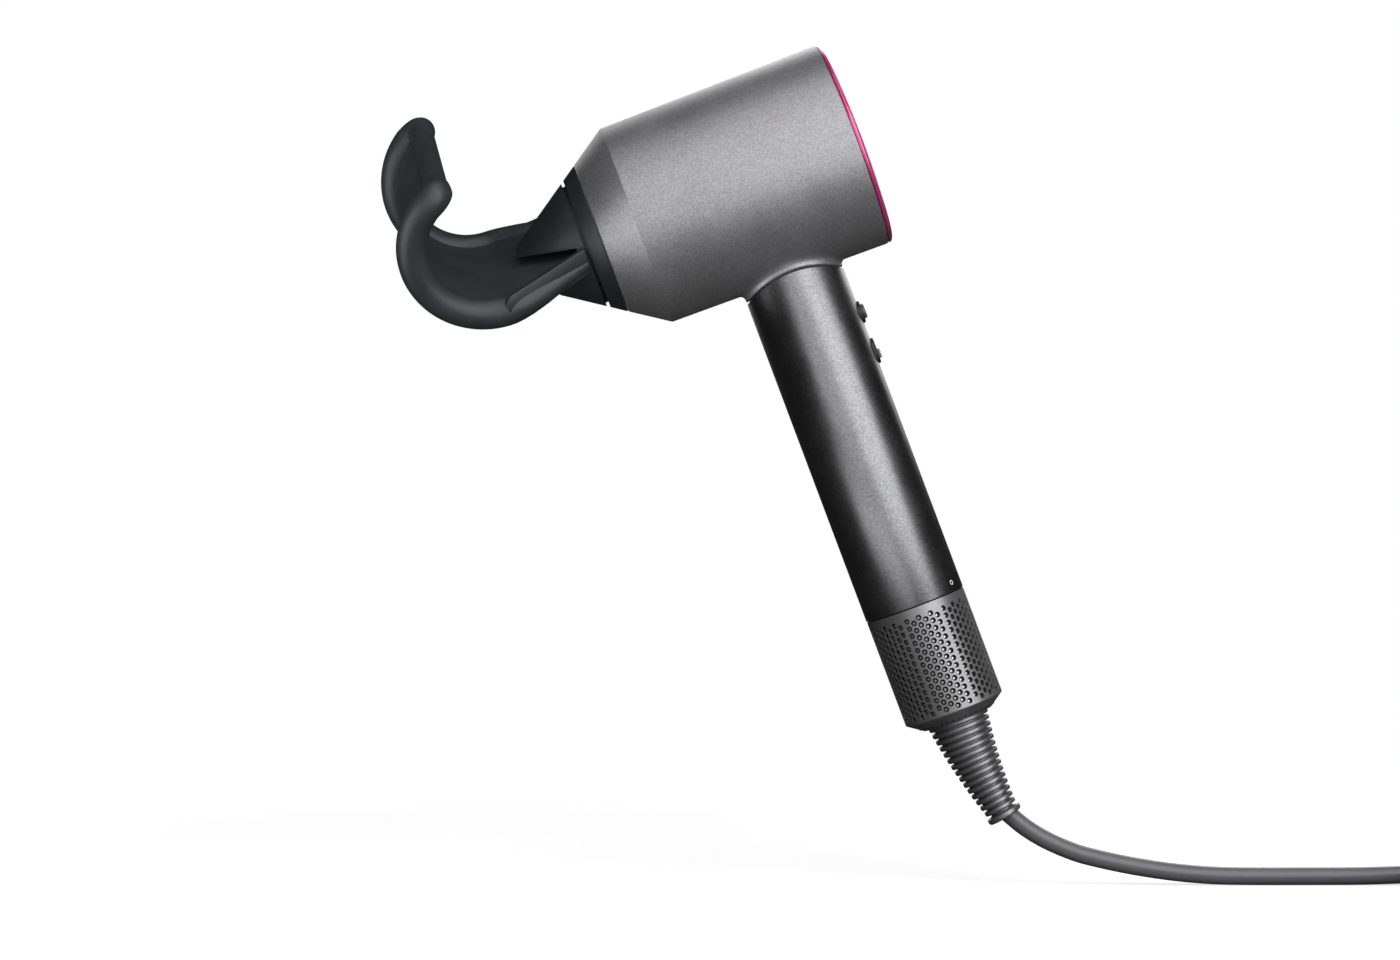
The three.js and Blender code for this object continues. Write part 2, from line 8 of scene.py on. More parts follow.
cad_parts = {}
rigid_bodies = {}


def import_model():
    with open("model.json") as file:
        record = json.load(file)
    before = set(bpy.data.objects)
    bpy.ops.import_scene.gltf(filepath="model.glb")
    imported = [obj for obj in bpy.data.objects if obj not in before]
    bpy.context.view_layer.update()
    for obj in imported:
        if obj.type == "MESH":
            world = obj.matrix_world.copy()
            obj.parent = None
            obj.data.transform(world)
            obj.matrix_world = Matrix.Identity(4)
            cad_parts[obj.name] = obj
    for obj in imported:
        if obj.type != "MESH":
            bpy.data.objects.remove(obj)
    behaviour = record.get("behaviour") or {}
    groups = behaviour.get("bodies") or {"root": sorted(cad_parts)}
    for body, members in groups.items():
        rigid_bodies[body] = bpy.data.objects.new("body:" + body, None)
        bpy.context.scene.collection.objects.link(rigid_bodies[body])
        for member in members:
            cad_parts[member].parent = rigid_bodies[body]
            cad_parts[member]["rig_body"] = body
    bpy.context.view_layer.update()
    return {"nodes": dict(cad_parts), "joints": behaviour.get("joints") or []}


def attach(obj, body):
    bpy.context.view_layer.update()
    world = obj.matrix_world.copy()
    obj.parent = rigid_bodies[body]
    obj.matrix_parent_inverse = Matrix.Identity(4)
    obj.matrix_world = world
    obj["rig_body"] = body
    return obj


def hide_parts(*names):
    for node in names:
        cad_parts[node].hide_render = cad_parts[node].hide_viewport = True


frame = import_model()

# ---------------------------------------------------------------- frames

MM = 0.001
JOINTS = {j["name"]: j for j in frame["joints"]}
SWIVEL = JOINTS["attachment_swivel"]["axis"]
TILT = math.atan2(-SWIVEL[2], -SWIVEL[0])
ROLL = math.radians(25)
AXIS_HEIGHT = 37.4
NOSE_X = -31.5
HANDLE_X = 27.7

ROW = Matrix.Scale(MM, 4)
DRYER = ROW @ Matrix.Rotation(-TILT, 4, "Y")
HEAD = DRYER @ Matrix.Translation((0, 0, AXIS_HEIGHT))
HANDLE = DRYER @ Matrix.Translation((HANDLE_X, 0, 0))
NOSE = DRYER @ Matrix.Translation((NOSE_X, 0, AXIS_HEIGHT)) @ Matrix.Rotation(ROLL, 4, "X")

X, Y, Z = Vector((1, 0, 0)), Vector((0, 1, 0)), Vector((0, 0, 1))


# ---------------------------------------------------------------- camera

def studio_camera():
    """A level view of the near side."""
    data = bpy.data.cameras.new("camera")
    data.sensor_width = 36
    data.lens = 100.3
    data.clip_start = 0.01
    cam = bpy.data.objects.new("camera", data)
    cam.location = (-0.0072, -1.403, -0.0629)
    cam.rotation_euler = (math.radians(90), 0, 0)
    bpy.context.scene.collection.objects.link(cam)
    bpy.context.scene.camera = cam


studio_camera()


# ---------------------------------------------------------------- shape tools

def rounded(profile, steps=4):
    """A closed outline; a third number on a point is the radius that rounds its corner."""
    points = []
    count = len(profile)
    for i, corner in enumerate(profile):
        here = Vector(corner[:2])
        if len(corner) < 3:
            points.append(here)
            continue
        back = (Vector(profile[i - 1][:2]) - here).normalized()
        ahead = (Vector(profile[(i + 1) % count][:2]) - here).normalized()
        reach = corner[2] / math.tan(back.angle(ahead) / 2)
        start, end = here + back * reach, here + ahead * reach
        for k in range(steps + 1):
            t = k / steps
            points.append(start * (1 - t) ** 2 + here * 2 * t * (1 - t) + end * t ** 2)
    return points


def tidy(bm, gap=1e-4):
    """Merges doubles and turns every face outwards."""
    bmesh.ops.remove_doubles(bm, verts=bm.verts, dist=gap)
    bmesh.ops.recalc_face_normals(bm, faces=bm.faces)
    return bm


def spun(profile, axis, steps, open_ends=False):
    """A solid of revolution. The outline is (radius, height); open_ends leaves it open on the axis."""
    bm = bmesh.new()
    across = Z if axis == X else X
    verts = [bm.verts.new(across * p[0] + axis * p[1]) for p in profile]
    pairs = list(zip(verts, verts[1:]))
    if not open_ends:
        pairs.append((verts[-1], verts[0]))
    edges = [bm.edges.new(pair) for pair in pairs]
    bmesh.ops.spin(bm, geom=verts + edges, cent=(0, 0, 0), axis=axis, angle=math.tau,
                   steps=steps, use_merge=True)
    return tidy(bm)


def soften(bm, width, steps=3, angle=30):
    """Rounds every edge that is sharper than the angle."""
    sharp = [e for e in bm.edges if len(e.link_faces) == 2
             and e.calc_face_angle() > math.radians(angle)]
    bmesh.ops.bevel(bm, geom=sharp, offset=width, offset_type="OFFSET", affect="EDGES",
                    segments=steps, profile=0.5, material=-1, clamp_overlap=True)
    return bm


def turned(bm, matrix):
    bmesh.ops.transform(bm, matrix=matrix, verts=bm.verts)
    return bm


def doubled(bm, faces):
    """Joins a copy to the faces by walls, and returns the copy's corners, which are moved next."""
    made = bmesh.ops.extrude_face_region(bm, geom=faces, use_keep_orig=True)
    return [v for v in made["geom"] if isinstance(v, bmesh.types.BMVert)]


def prism(outline, depth, edge=0, edge_steps=3):
    """A flat outline pushed out along its own Z, with its edges rounded."""
    bm = bmesh.new()
    face = bm.faces.new([bm.verts.new((p[0], p[1], 0)) for p in outline])
    bmesh.ops.translate(bm, verts=doubled(bm, [face]), vec=(0, 0, depth))
    bmesh.ops.recalc_face_normals(bm, faces=bm.faces)
    if edge:
        soften(bm, edge, edge_steps)
    return bm


def arc(radius, start, end, steps, centre=(0, 0)):
    """Points on an arc, its angles in degrees."""
    angles = [math.radians(start + (end - start) * k / steps) for k in range(steps + 1)]
    return [Vector((centre[0] + radius * math.cos(a), centre[1] + radius * math.sin(a)))
            for a in angles]


def skinned(rings, ends=True):
    """Skin over rings of points that all have the same count."""
    bm = bmesh.new()
    loops = [[bm.verts.new(p) for p in ring] for ring in rings]
    edges = [[bm.edges.new(pair) for pair in zip(loop, loop[1:] + loop[:1])] for loop in loops]
    for one, other in zip(edges, edges[1:]):
        bmesh.ops.bridge_loops(bm, edges=one + other)
    if ends:
        bm.faces.new(loops[0])
        bm.faces.new(loops[-1])
    bmesh.ops.recalc_face_normals(bm, faces=bm.faces)
    return bm


def around(radius, count, height):
    """A ring about Z; height is a number or a function of (x, y)."""
    points = []
    for k in range(count):
        a = math.tau * k / count
        x, y = radius * math.cos(a), radius * math.sin(a)
        points.append(Vector((x, y, height(x, y) if callable(height) else height)))
    return points


def swept(path, radii, sides):
    """A round bar along a path, with its own radius at each point."""
    path = [Vector(p) for p in path]
    rings = []
    side = (path[1] - path[0]).orthogonal().normalized()
    for i, (place, radius) in enumerate(zip(path, radii)):
        tangent = (path[min(i + 1, len(path) - 1)] - path[max(i - 1, 0)]).normalized()
        side = (side - tangent * side.dot(tangent)).normalized()
        up = tangent.cross(side)
        turns = [math.tau * k / sides for k in range(sides)]
        rings.append([place + (side * math.cos(a) + up * math.sin(a)) * radius for a in turns])
    return skinned(rings)


def smooth_route(points, spacing=2.0):
    """A Catmull-Rom line through the points, at an even fine spacing."""
    pts = [Vector(p) for p in points]
    ends = [pts[0] * 2 - pts[1]] + pts + [pts[-1] * 2 - pts[-2]]
    line = []
    for a, b, c, d in zip(ends, ends[1:], ends[2:], ends[3:]):
        count = max(2, round((c - b).length / spacing))
        for k in range(count):
            t = k / count
            line.append(0.5 * (2 * b + (c - a) * t + (2 * a - 5 * b + 4 * c - d) * t ** 2
                               + (3 * b - a - 3 * c + d) * t ** 3))
    line.append(pts[-1])
    return line


def merged(*parts):
    """Several bmeshes in one."""
    whole = bmesh.new()
    for bm in parts:
        mesh = bpy.data.meshes.new("part")
        bm.to_mesh(mesh)
        bm.free()
        whole.from_mesh(mesh)
        bpy.data.meshes.remove(mesh)
    return whole


def kept(bm, point, normal):
    """Cuts with a plane, keeps the side that the normal points away from, and closes the cut."""
    geom = bm.verts[:] + bm.edges[:] + bm.faces[:]
    made = bmesh.ops.bisect_plane(bm, geom=geom, dist=1e-4, plane_co=point, plane_no=normal,
                                  clear_outer=True)
    cut_edges = [e for e in made["geom_cut"] if isinstance(e, bmesh.types.BMEdge)]
    bmesh.ops.triangle_fill(bm, edges=cut_edges, use_beauty=True, use_dissolve=True)
    bmesh.ops.remove_doubles(bm, verts=bm.verts, dist=0.01)
    bmesh.ops.recalc_face_normals(bm, faces=bm.faces)
    return bm


def piece(name, bm, place, finish, body, replaces=(), sharp=38):
    """Sets a bmesh down as a finished piece that rides on a body."""
    bmesh.ops.transform(bm, matrix=place, verts=bm.verts)
    mesh = bpy.data.meshes.new(name)
    bm.to_mesh(mesh)
    bm.free()
    mesh.polygons.foreach_set("use_smooth", [True] * len(mesh.polygons))
    mesh.set_sharp_from_angle(angle=math.radians(sharp))
    mesh.materials.append(FINISH[finish])
    thing = bpy.data.objects.new(name, mesh)
    bpy.context.scene.collection.objects.link(thing)
    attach(thing, body)
    if replaces:
        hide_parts(*replaces)
    return thing


# ---------------------------------------------------------------- finishes

def node(tree, kind, given=None, **settings):
    """Adds a node; given maps its inputs, by name or number, to a value or another socket."""
    made = tree.nodes.new(kind)
    for key, value in settings.items():
        setattr(made, key, value)
    for key, value in (given or {}).items():
        if isinstance(value, bpy.types.NodeSocket):
            tree.links.new(value, made.inputs[key])
        else:
            made.inputs[key].default_value = value
    return made


def spread(tree, value, low, high, from_low=0.0, from_high=1.0):
    """Maps a value onto a range."""
    inputs = {0: value, 1: from_low, 2: from_high, 3: low, 4: high}
    return node(tree, "ShaderNodeMapRange", inputs).outputs[0]


def maths(tree, operation, a, b, c=0.0):
    return node(tree, "ShaderNodeMath", {0: a, 1: b, 2: c}, operation=operation).outputs[0]


def new_group(name, inputs):
    """A node group with a colour and the given values in, and colour, roughness and height out."""
    group = bpy.data.node_groups.new(name, "ShaderNodeTree")
    group.interface.new_socket("Color", in_out="INPUT", socket_type="NodeSocketColor")
    for label, value in inputs.items():
        socket = group.interface.new_socket(label, in_out="INPUT", socket_type="NodeSocketFloat")
        socket.default_value = value
    for label, kind in (("Color", "Color"), ("Roughness", "Float"), ("Height", "Float")):
        group.interface.new_socket(label, in_out="OUTPUT", socket_type="NodeSocket" + kind)
    start = group.nodes.new("NodeGroupInput")
    end = group.nodes.new("NodeGroupOutput")
    where = node(group, "ShaderNodeTexCoord").outputs["Object"]
    return group, start.outputs, end.inputs, where


def shade(group, color, gain):
    return node(group, "ShaderNodeVectorMath", {0: color, "Scale": gain}, operation="SCALE").outputs[0]


def flake_paint():
    """Metal-flake paint: fine bright and dark specks in a slightly clouded coat."""
    group, given, put, where = new_group(
        "flake_paint", {"Speck Scale": 3000, "Speck Strength": 0.2, "Cloud": 0.05, "Roughness": 0.4})
    specks = node(group, "ShaderNodeTexVoronoi", {"Vector": where, "Scale": given["Speck Scale"]})
    bright = spread(group, specks.outputs["Color"], -1.0, 1.0)
    cloud = node(group, "ShaderNodeTexNoise", {"Vector": where, "Scale": 60.0, "Detail": 4.0})
    cloudy = spread(group, cloud.outputs["Fac"], -1.0, 1.0, 0.3, 0.7)
    gain = maths(group, "MULTIPLY_ADD", bright, given["Speck Strength"], 1.0)
    gain = maths(group, "MULTIPLY_ADD", cloudy, given["Cloud"], gain)
    group.links.new(shade(group, given["Color"], gain), put["Color"])
    group.links.new(maths(group, "MULTIPLY_ADD", cloudy, 0.03, given["Roughness"]), put["Roughness"])
    group.links.new(specks.outputs["Distance"], put["Height"])
    return group


def moulded_grain():
    """Moulded plastic: a fine spark-eroded grain and a faint unevenness of tone and gloss."""
    group, given, put, where = new_group(
        "moulded_grain", {"Grain Scale": 3500, "Mottle": 0.1, "Roughness": 0.45})
    grain = node(group, "ShaderNodeTexNoise",
                 {"Vector": where, "Scale": given["Grain Scale"], "Detail": 2.0})
    cloud = node(group, "ShaderNodeTexNoise", {"Vector": where, "Scale": 90.0, "Detail": 4.0})
    tone = spread(group, cloud.outputs["Fac"], -1.0, 1.0, 0.3, 0.7)
    gain = maths(group, "MULTIPLY_ADD", tone, given["Mottle"], 1.0)
    group.links.new(shade(group, given["Color"], gain), put["Color"])
    group.links.new(maths(group, "MULTIPLY_ADD", tone, 0.05, given["Roughness"]), put["Roughness"])
    group.links.new(grain.outputs["Fac"], put["Height"])
    return group


def woven_wire():
    """Fine wire cloth round the handle: bright wires over dark gaps."""
    group, given, put, where = new_group(
        "woven_wire", {"Wires": 5200, "Gap Tone": 0.3, "Roughness": 0.4})
    waves = []
    for direction in ("X", "Z"):
        wave = node(group, "ShaderNodeTexWave",
                    {"Vector": where, "Scale": given["Wires"]}, bands_direction=direction)
        waves.append(wave.outputs["Fac"])
    height = maths(group, "MAXIMUM", *waves)
    tone = maths(group, "SUBTRACT", 1.0, given["Gap Tone"])
    gain = maths(group, "MULTIPLY_ADD", height, tone, given["Gap Tone"])
    group.links.new(shade(group, given["Color"], gain), put["Color"])
    group.links.new(maths(group, "MULTIPLY_ADD", height, -0.1, given["Roughness"]), put["Roughness"])
    group.links.new(height, put["Height"])
    return group


GROUPS = {"flake": flake_paint(), "moulded": moulded_grain(), "woven": woven_wire()}


def screen(red, green, blue):
    """A colour given in 0-255 screen values."""
    def straight(value):
        value /= 255
        return value / 12.92 if value <= 0.04045 else ((value + 0.055) / 1.055) ** 2.4
    return straight(red), straight(green), straight(blue), 1


FINISH = {}


def finish(name, kind, color, roughness, bump, shader=None, group=None):
    """Adds to FINISH a material whose colour, roughness and relief come from a shared group."""
    material = bpy.data.materials.new(name)
    material.use_nodes = True
    tree = material.node_tree
    surface = tree.nodes["Principled BSDF"]
    values = {"Color": color, "Roughness": roughness, **(group or {})}
    effect = node(tree, "ShaderNodeGroup", node_tree=GROUPS[kind])
    for key, value in values.items():
        effect.inputs[key].default_value = value
    relief = node(tree, "ShaderNodeBump",
                  {"Strength": bump, "Distance": 0.0001, "Height": effect.outputs["Height"]})
    tree.links.new(effect.outputs["Color"], surface.inputs["Base Color"])
    tree.links.new(effect.outputs["Roughness"], surface.inputs["Roughness"])
    tree.links.new(relief.outputs["Normal"], surface.inputs["Normal"])
    for key, value in (shader or {}).items():
        surface.inputs[key].default_value = value
    FINISH[name] = material


METAL = {"Metallic": 1.0}
finish("head_paint", "flake", screen(156, 155, 158), 0.46, 0.05,
       {"Metallic": 0.75}, {"Speck Scale": 2200, "Speck Strength": 0.24})
finish("handle_paint", "flake", screen(134, 134, 136), 0.34, 0.05,
       METAL, {"Speck Scale": 2200, "Speck Strength": 0.3})
finish("liner_pink", "flake", screen(224, 66, 142), 0.28, 0.02,
       {"Metallic": 0.45, "Coat Weight": 1.0, "Coat Roughness": 0.22, "Coat IOR": 1.8},
       {"Speck Scale": 4000, "Speck Strength": 0.08})
finish("cage_paint", "flake", screen(150, 149, 151), 0.38, 0.05,
       {"Metallic": 0.7}, {"Speck Scale": 3000, "Speck Strength": 0.12})
finish("boot_plastic", "moulded", screen(142, 141, 144), 0.38, 0.1,
       {"Metallic": 0.7}, {"Mottle": 0.08})
finish("button_plastic", "moulded", screen(92, 91, 94), 0.38, 0.1,
       {"Metallic": 0.4})
finish("nozzle_plastic", "moulded", screen(38, 43, 46), 0.42, 0.12,
       group={"Mottle": 0.12})
finish("soft_plastic", "moulded", screen(48, 53, 57), 0.46, 0.2,
       group={"Mottle": 0.12})
finish("dark_plastic", "moulded", screen(30, 31, 33), 0.5, 0.12)
finish("cord_sheath", "moulded", screen(112, 111, 116), 0.3, 0.05,
       group={"Mottle": 0.05})
finish("plug_plastic", "moulded", screen(112, 111, 116), 0.45, 0.2)
finish("black_rubber", "moulded", screen(28, 28, 29), 0.75, 0.3)
finish("bare_steel", "moulded", screen(170, 170, 172), 0.32, 0.1, METAL)
finish("plated_brass", "moulded", screen(214, 210, 200), 0.16, 0.03, METAL,
       {"Mottle": 0.03})
finish("magnet_plating", "moulded", screen(112, 112, 114), 0.3, 0.05, METAL)
finish("cast_alloy", "moulded", screen(150, 151, 154), 0.4, 0.2, METAL)
finish("circuit_board", "moulded", screen(30, 96, 60), 0.45, 0.1,
       group={"Mottle": 0.2})
finish("mica_sheet", "moulded", screen(190, 172, 138), 0.6, 0.2,
       group={"Mottle": 0.25})
finish("heater_wire", "moulded", screen(150, 128, 100), 0.4, 0.1,
       {"Metallic": 0.9})
finish("open_foam", "moulded", screen(52, 52, 54), 0.95, 1.0,
       group={"Grain Scale": 1800})
finish("light_window", "moulded", screen(228, 228, 232), 0.2, 0.02,
       {"IOR": 1.49})
finish("strap_fabric", "moulded", screen(26, 26, 28), 0.95, 1.0,
       group={"Grain Scale": 2500, "Mottle": 0.3})
# The wire cloth is coloured darker than the real mesh, as painted shade that makes the cage's holes read
# dark.
finish("wire_cloth_painted_shade", "woven", screen(58, 58, 60), 0.5, 0.4, {"Metallic": 0.6})

# ---------------------------------------------------------------- mains lead

CORD_R = 3.2
IN_BOOT = [(96.5, 0, -173.6), (99.0, 0, -177.6), (101.9, 0, -181.2)]
LEAD_ROUTE = [
    (105.1, 0, -184.1), (110.4, 0, -188.3), (117.7, 0, -192.6), (127.3, 0, -196.7),
    (136.4, 0, -199.2), (149, 0, -201.8), (163, 0, -203.9), (177, 0, -205.1),
    (191, 0, -205.4), (211, 0, -205.4), (231, 0, -205.3), (251, 0, -204.7), (269.8, 0, -204.3),
]
TAIL_ROUTE = [
    (337.5, -74.6, -191.2), (334.3, -77.3, -190.4), (328.9, -82.4, -188.9),
    (323.6, -85.6, -187.2), (319.5, -86.8, -186.3), (316.5, -87.1, -185.9),
]
COIL_CENTRE = Vector((297, -51.2, 0))
COIL_MIDDLE = 38.4
COIL_TURNS = 5
COIL_BOTTOM = -207.5
STEP = math.radians(34)  # the arc in which a turn moves over to its next place
COIL_WOUND = 9.25 * math.tau


def ease(t):
    """Runs smoothly from 0 to 1 as t does."""
    t = min(1, max(0, t))
    return t * t * (3 - 2 * t)


def coil_line():
    """Two flat layers of turns: the lower wound inwards, the upper outwards, clockwise."""
    pitch = 2 * CORD_R
    outer = COIL_MIDDLE + pitch * (COIL_TURNS - 1) / 2
    inwards = [(math.tau * (k + 1), -pitch, 0) for k in range(COIL_TURNS - 1)]
    lift_at = math.tau * COIL_TURNS - 1.5 * STEP
    lift = [(lift_at, 0, pitch)]
    outwards = [(lift_at + math.tau * (k + 1) - 1.5 * STEP, pitch, 0) for k in range(COIL_TURNS - 1)]
    moves = inwards + lift + outwards
    count = 400
    points = []
    for i in range(count + 1):
        wound = COIL_WOUND * i / count
        radius = outer + sum(dr * ease((wound - at) / STEP) for at, dr, dz in moves)
        height = COIL_BOTTOM + CORD_R + sum(dz * ease((wound - at) / STEP) for at, dr, dz in moves)
        angle = math.pi / 2 - wound
        place = Vector((radius * math.cos(angle), radius * math.sin(angle), height))
        points.append(COIL_CENTRE + place)
    return points


def over_the_top(start_radius, steps=8):
    """The cord leaves the outer turn and climbs round its neighbour onto the coil's top."""
    points = []
    for k in range(1, steps + 1):
        t = k / (steps + 1)
        climb = math.radians(90) * ease(t)
        radius = start_radius - 2 * CORD_R * (1 - math.cos(climb))
        height = COIL_BOTTOM + 3 * CORD_R + 2 * CORD_R * math.sin(climb)
        angle = -math.radians(30) * t
        place = Vector((radius * math.cos(angle), radius * math.sin(angle), height + 0.3 * t))
        points.append(COIL_CENTRE + place)
    return points


def length_of(points):
    return sum((b - a).length for a, b in zip(points, points[1:]))


def mains_cord():
    """The whole lead as one curve, with its length in metres."""
    climb = over_the_top(COIL_MIDDLE + CORD_R * (COIL_TURNS - 1))
    line = smooth_route(IN_BOOT + LEAD_ROUTE) + coil_line()
    line += smooth_route([line[-1]] + climb + TAIL_ROUTE)[1:]
    data = bpy.data.curves.new("mains_cord", "CURVE")
    data.dimensions = "3D"
    data.bevel_depth = CORD_R * MM
    data.bevel_resolution = 6
    data.use_fill_caps = True
    spline = data.splines.new("POLY")
    spline.points.add(len(line) - 1)
    for point, place in zip(spline.points, line):
        point.co = (*(place * MM), 1)
    spline.use_smooth = True
    data.materials.append(FINISH["cord_sheath"])
    cord = bpy.data.objects.new("mains_cord", data)
    bpy.context.scene.collection.objects.link(cord)
    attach(cord, "dryer")
    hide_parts("cord_lead", "cord_coil", "cord_tail")
    return cord, length_of(line) * MM


STRAP_WIDE = 12
STRAP_THICK = 0.8


def coil_strap():
    """A hook-and-loop strap round one side of the coil."""
    near, far = COIL_MIDDLE - CORD_R * COIL_TURNS - 1.2, COIL_MIDDLE + CORD_R * COIL_TURNS + 0.3
    low, high = COIL_BOTTOM - 0.3, COIL_BOTTOM + 4 * CORD_R + 0.3
    thick = STRAP_THICK
    outside = rounded([(near - thick, low - thick, 1.6), (far + thick, low - thick, 1.6),
                       (far + thick, high + thick, 1.6), (near - thick, high + thick, 1.6)], 5)
    inside = rounded([(near, low, 0.9), (far, low, 0.9), (far, high, 0.9), (near, high, 0.9)], 5)
    bm = bmesh.new()
    loops = [[bm.verts.new((x, -STRAP_WIDE / 2, z)) for x, z in ring] for ring in (outside, inside)]
    edges = [bm.edges.new(p) for loop in loops for p in zip(loop, loop[1:] + loop[:1])]
    flat = bmesh.ops.bridge_loops(bm, edges=edges)["faces"]
    bmesh.ops.translate(bm, verts=doubled(bm, flat), vec=(0, STRAP_WIDE, 0))
    tidy(bm)
    soften(bm, 0.2, 2, 50)
    turn = ROW @ Matrix.Translation(COIL_CENTRE) @ Matrix.Rotation(math.radians(50), 4, "Z")
    return piece("coil_strap", bm, turn, "strap_fabric", "dryer", ("coil_tie",))


PLUG = ROW @ Matrix.Translation((316, -87.1, -185.9)) @ Matrix.Rotation(math.pi, 4, "Z")
RELIEF, GRIP = 22, 34
PIN_SIDE, PIN_R, PIN_LONG = 9.5, 2.4, 19


def plug_grip():
    """A flat moulded plug: a waisted grip that swells to its face, and a ribbed cone on the cord."""
    stations = [(RELIEF - 5, 6.2, 5.6), (RELIEF - 2, 7.6, 6.6), (RELIEF + 3, 8.8, 7.2),
                (RELIEF + 8, 11.6, 7.8), (RELIEF + 13, 15.2, 8.2), (RELIEF + 18, 17.3, 8.5),
                (RELIEF + 24, 18.0, 8.5), (RELIEF + GRIP - 3, 18.2, 8.5),
                (RELIEF + GRIP + 0.6, 18.2, 8.5), (RELIEF + GRIP + 1.5, 17.4, 7.7)]
    rings = []
    for x, half_wide, half_high in stations:
        ring = []
        for k in range(48):
            a = math.tau * k / 48
            c, s = math.cos(a), math.sin(a)
            ring.append(Vector((x, half_wide * math.copysign(abs(c) ** 0.55, c),
                                half_high * math.copysign(abs(s) ** 0.55, s))))
        rings.append(ring)
    grip = skinned(rings)
    profile = [(0, 0), (3.9, 0)]
    for k in range(6):
        r = 4.2 + 0.4 * k
        x = 1 + 3 * k
        profile += [(r, x), (r, x + 1.6), (r - 0.8, x + 1.9), (r - 0.8, x + 2.7)]
    profile += [(6.4, RELIEF - 2), (0, RELIEF - 2)]
    cone = spun(profile, X, 40, open_ends=True)
    boss = prism([(-4, -6), (4, -6), (4, 6), (-4, 6)], 2.5, edge=0.5)
    turned(boss, Matrix.Translation((RELIEF + GRIP, 0, 0)) @ Matrix.Rotation(math.pi / 2, 4, "Y")
           @ Matrix.Rotation(math.pi / 2, 4, "Z"))
    return merged(grip, cone, boss)


def plug():
    """The plug's grip and its two pins."""
    body = piece("plug_grip", plug_grip(), PLUG, "plug_plastic", "dryer",
                 ("plug_body",), 32)
    face = RELIEF + GRIP + 1.8
    made = [body]
    for i, side in enumerate((-PIN_SIDE, PIN_SIDE), 1):
        outline = rounded([(0, face), (PIN_R, face, 0.1), (PIN_R, face + PIN_LONG, 1.9),
                           (0, face + PIN_LONG)])
        pin = spun(outline, X, 28, open_ends=True)
        turned(pin, Matrix.Translation((0, side, 0)))
        made.append(piece(f"pin_{i}", pin, PLUG, "plated_brass", "dryer",
                          (f"plug_pin_{i}",)))
    return made


cord, cord_length = mains_cord()
on_the_cord = [coil_strap()] + plug()


# ---------------------------------------------------------------- head

WALL = 1.9
NOSE_R, CREASE_R, REAR_R = 28, 37, 37.8
CREASE_X, REAR_X = -18.1, 64.4
HANDLE_R = 18.5
SADDLE_R = 39.9
DUCT_R = 16.2


def barrel_radius(x):
    """The drum's radius, which widens slightly to the rear."""
    return CREASE_R + (REAR_R - CREASE_R) * (x - CREASE_X) / (REAR_X - CREASE_X)


def barrel():
    """The head's shell: a drum with a coned nose."""
    outline = rounded([
        (NOSE_R - WALL, NOSE_X, 0.3), (NOSE_R, NOSE_X, 0.5), (CREASE_R, CREASE_X, 1.0),
        (REAR_R, REAR_X, 0.35), (REAR_R - WALL, REAR_X, 0.2), (CREASE_R - WALL, CREASE_X)])
    return spun(outline, X, 128)


def neck():
    """The short stub that flares out of the drum with a fillet and meets the handle's saddle."""
    fillet = 1.8
    count = 128

    def on_drum(offset):
        return lambda x, y: -math.sqrt((barrel_radius(x + HANDLE_X) + offset) ** 2 - y * y)

    def on_saddle(radius):
        return lambda x, y: -math.sqrt(radius ** 2 - y * y)

    rings = [around(HANDLE_R + fillet + 1, count, on_drum(-0.5))]
    for k in range(9):
        a = math.radians(90) * k / 8
        radius = HANDLE_R + fillet * (1 - math.sin(a))
        rings.append(around(radius, count, on_drum(fillet * (1 - math.cos(a)))))
    rings.append(around(HANDLE_R, count, on_saddle(SADDLE_R - 0.3)))
    rings.append(around(HANDLE_R - 0.1, count, on_saddle(SADDLE_R - 0.08)))
    rings.append(around(HANDLE_R - 0.3, count, on_saddle(SADDLE_R)))
    rings.append(around(DUCT_R + 0.2, count, on_saddle(SADDLE_R)))
    rings.append(around(DUCT_R, count, on_saddle(SADDLE_R - 0.2)))
    rings.append(around(DUCT_R, count, on_saddle(34.5)))
    return turned(skinned(rings, ends=False), Matrix.Translation((HANDLE_X, 0, 0)))


piece("drum_and_neck", merged(barrel(), neck()), HEAD, "head_paint", "dryer",
      ("head_shell",), 30)

RIM = REAR_X
LINER = rounded([
    (17.8, -29, 0.4), (19.4, -29, 0.3), (19.4, RIM - 14.4, 2), (22.4, RIM - 8.4, 1),
    (30, RIM - 3.9), (35.5, RIM - 2.6), (35.5, RIM + 0.3), (37.4, RIM + 0.3, 0.15),
    (37.7, RIM + 0.9, 0.4), (37.3, RIM + 1.6, 0.4), (36.2, RIM + 2.1, 0.6), (34, RIM + 1.9, 1),
    (30, RIM + 0.2, 2), (25, RIM - 2.9, 3), (20.9, RIM - 8, 3), (18.5, RIM - 14.4, 4)])
piece("pink_liner", spun(LINER, X, 128), HEAD, "liner_pink", "dryer", ("bore_liner",), 40)

piece("outlet_lip", spun(rounded([(22.6, -31.2, 0.5), (25.6, -31.2, 0.5), (25.6, -26.5, 0.3),
                                  (22.6, -26.5, 0.3)]), X, 96),
      HEAD, "dark_plastic", "dryer", ("outlet_ring",))

DISH_SLOPE = math.atan(0.62)


def in_dish(angle):
    """A place in the rear dish, square to its slope, at an angle from the head's underside."""
    return (Matrix.Rotation(math.radians(angle), 4, "X") @ Matrix.Translation((63.4, 0, -28))
            @ Matrix.Rotation(-DISH_SLOPE, 4, "Y"))


def dish_button():
    """A round push button with a shallow finger hollow."""
    outline = rounded([(0, -5.5), (4, -5.5, 0.3), (4, 1.2, 0.5), (3.1, 1.2, 0.4), (0, 0.85)])
    return spun(outline, X, 48, open_ends=True)


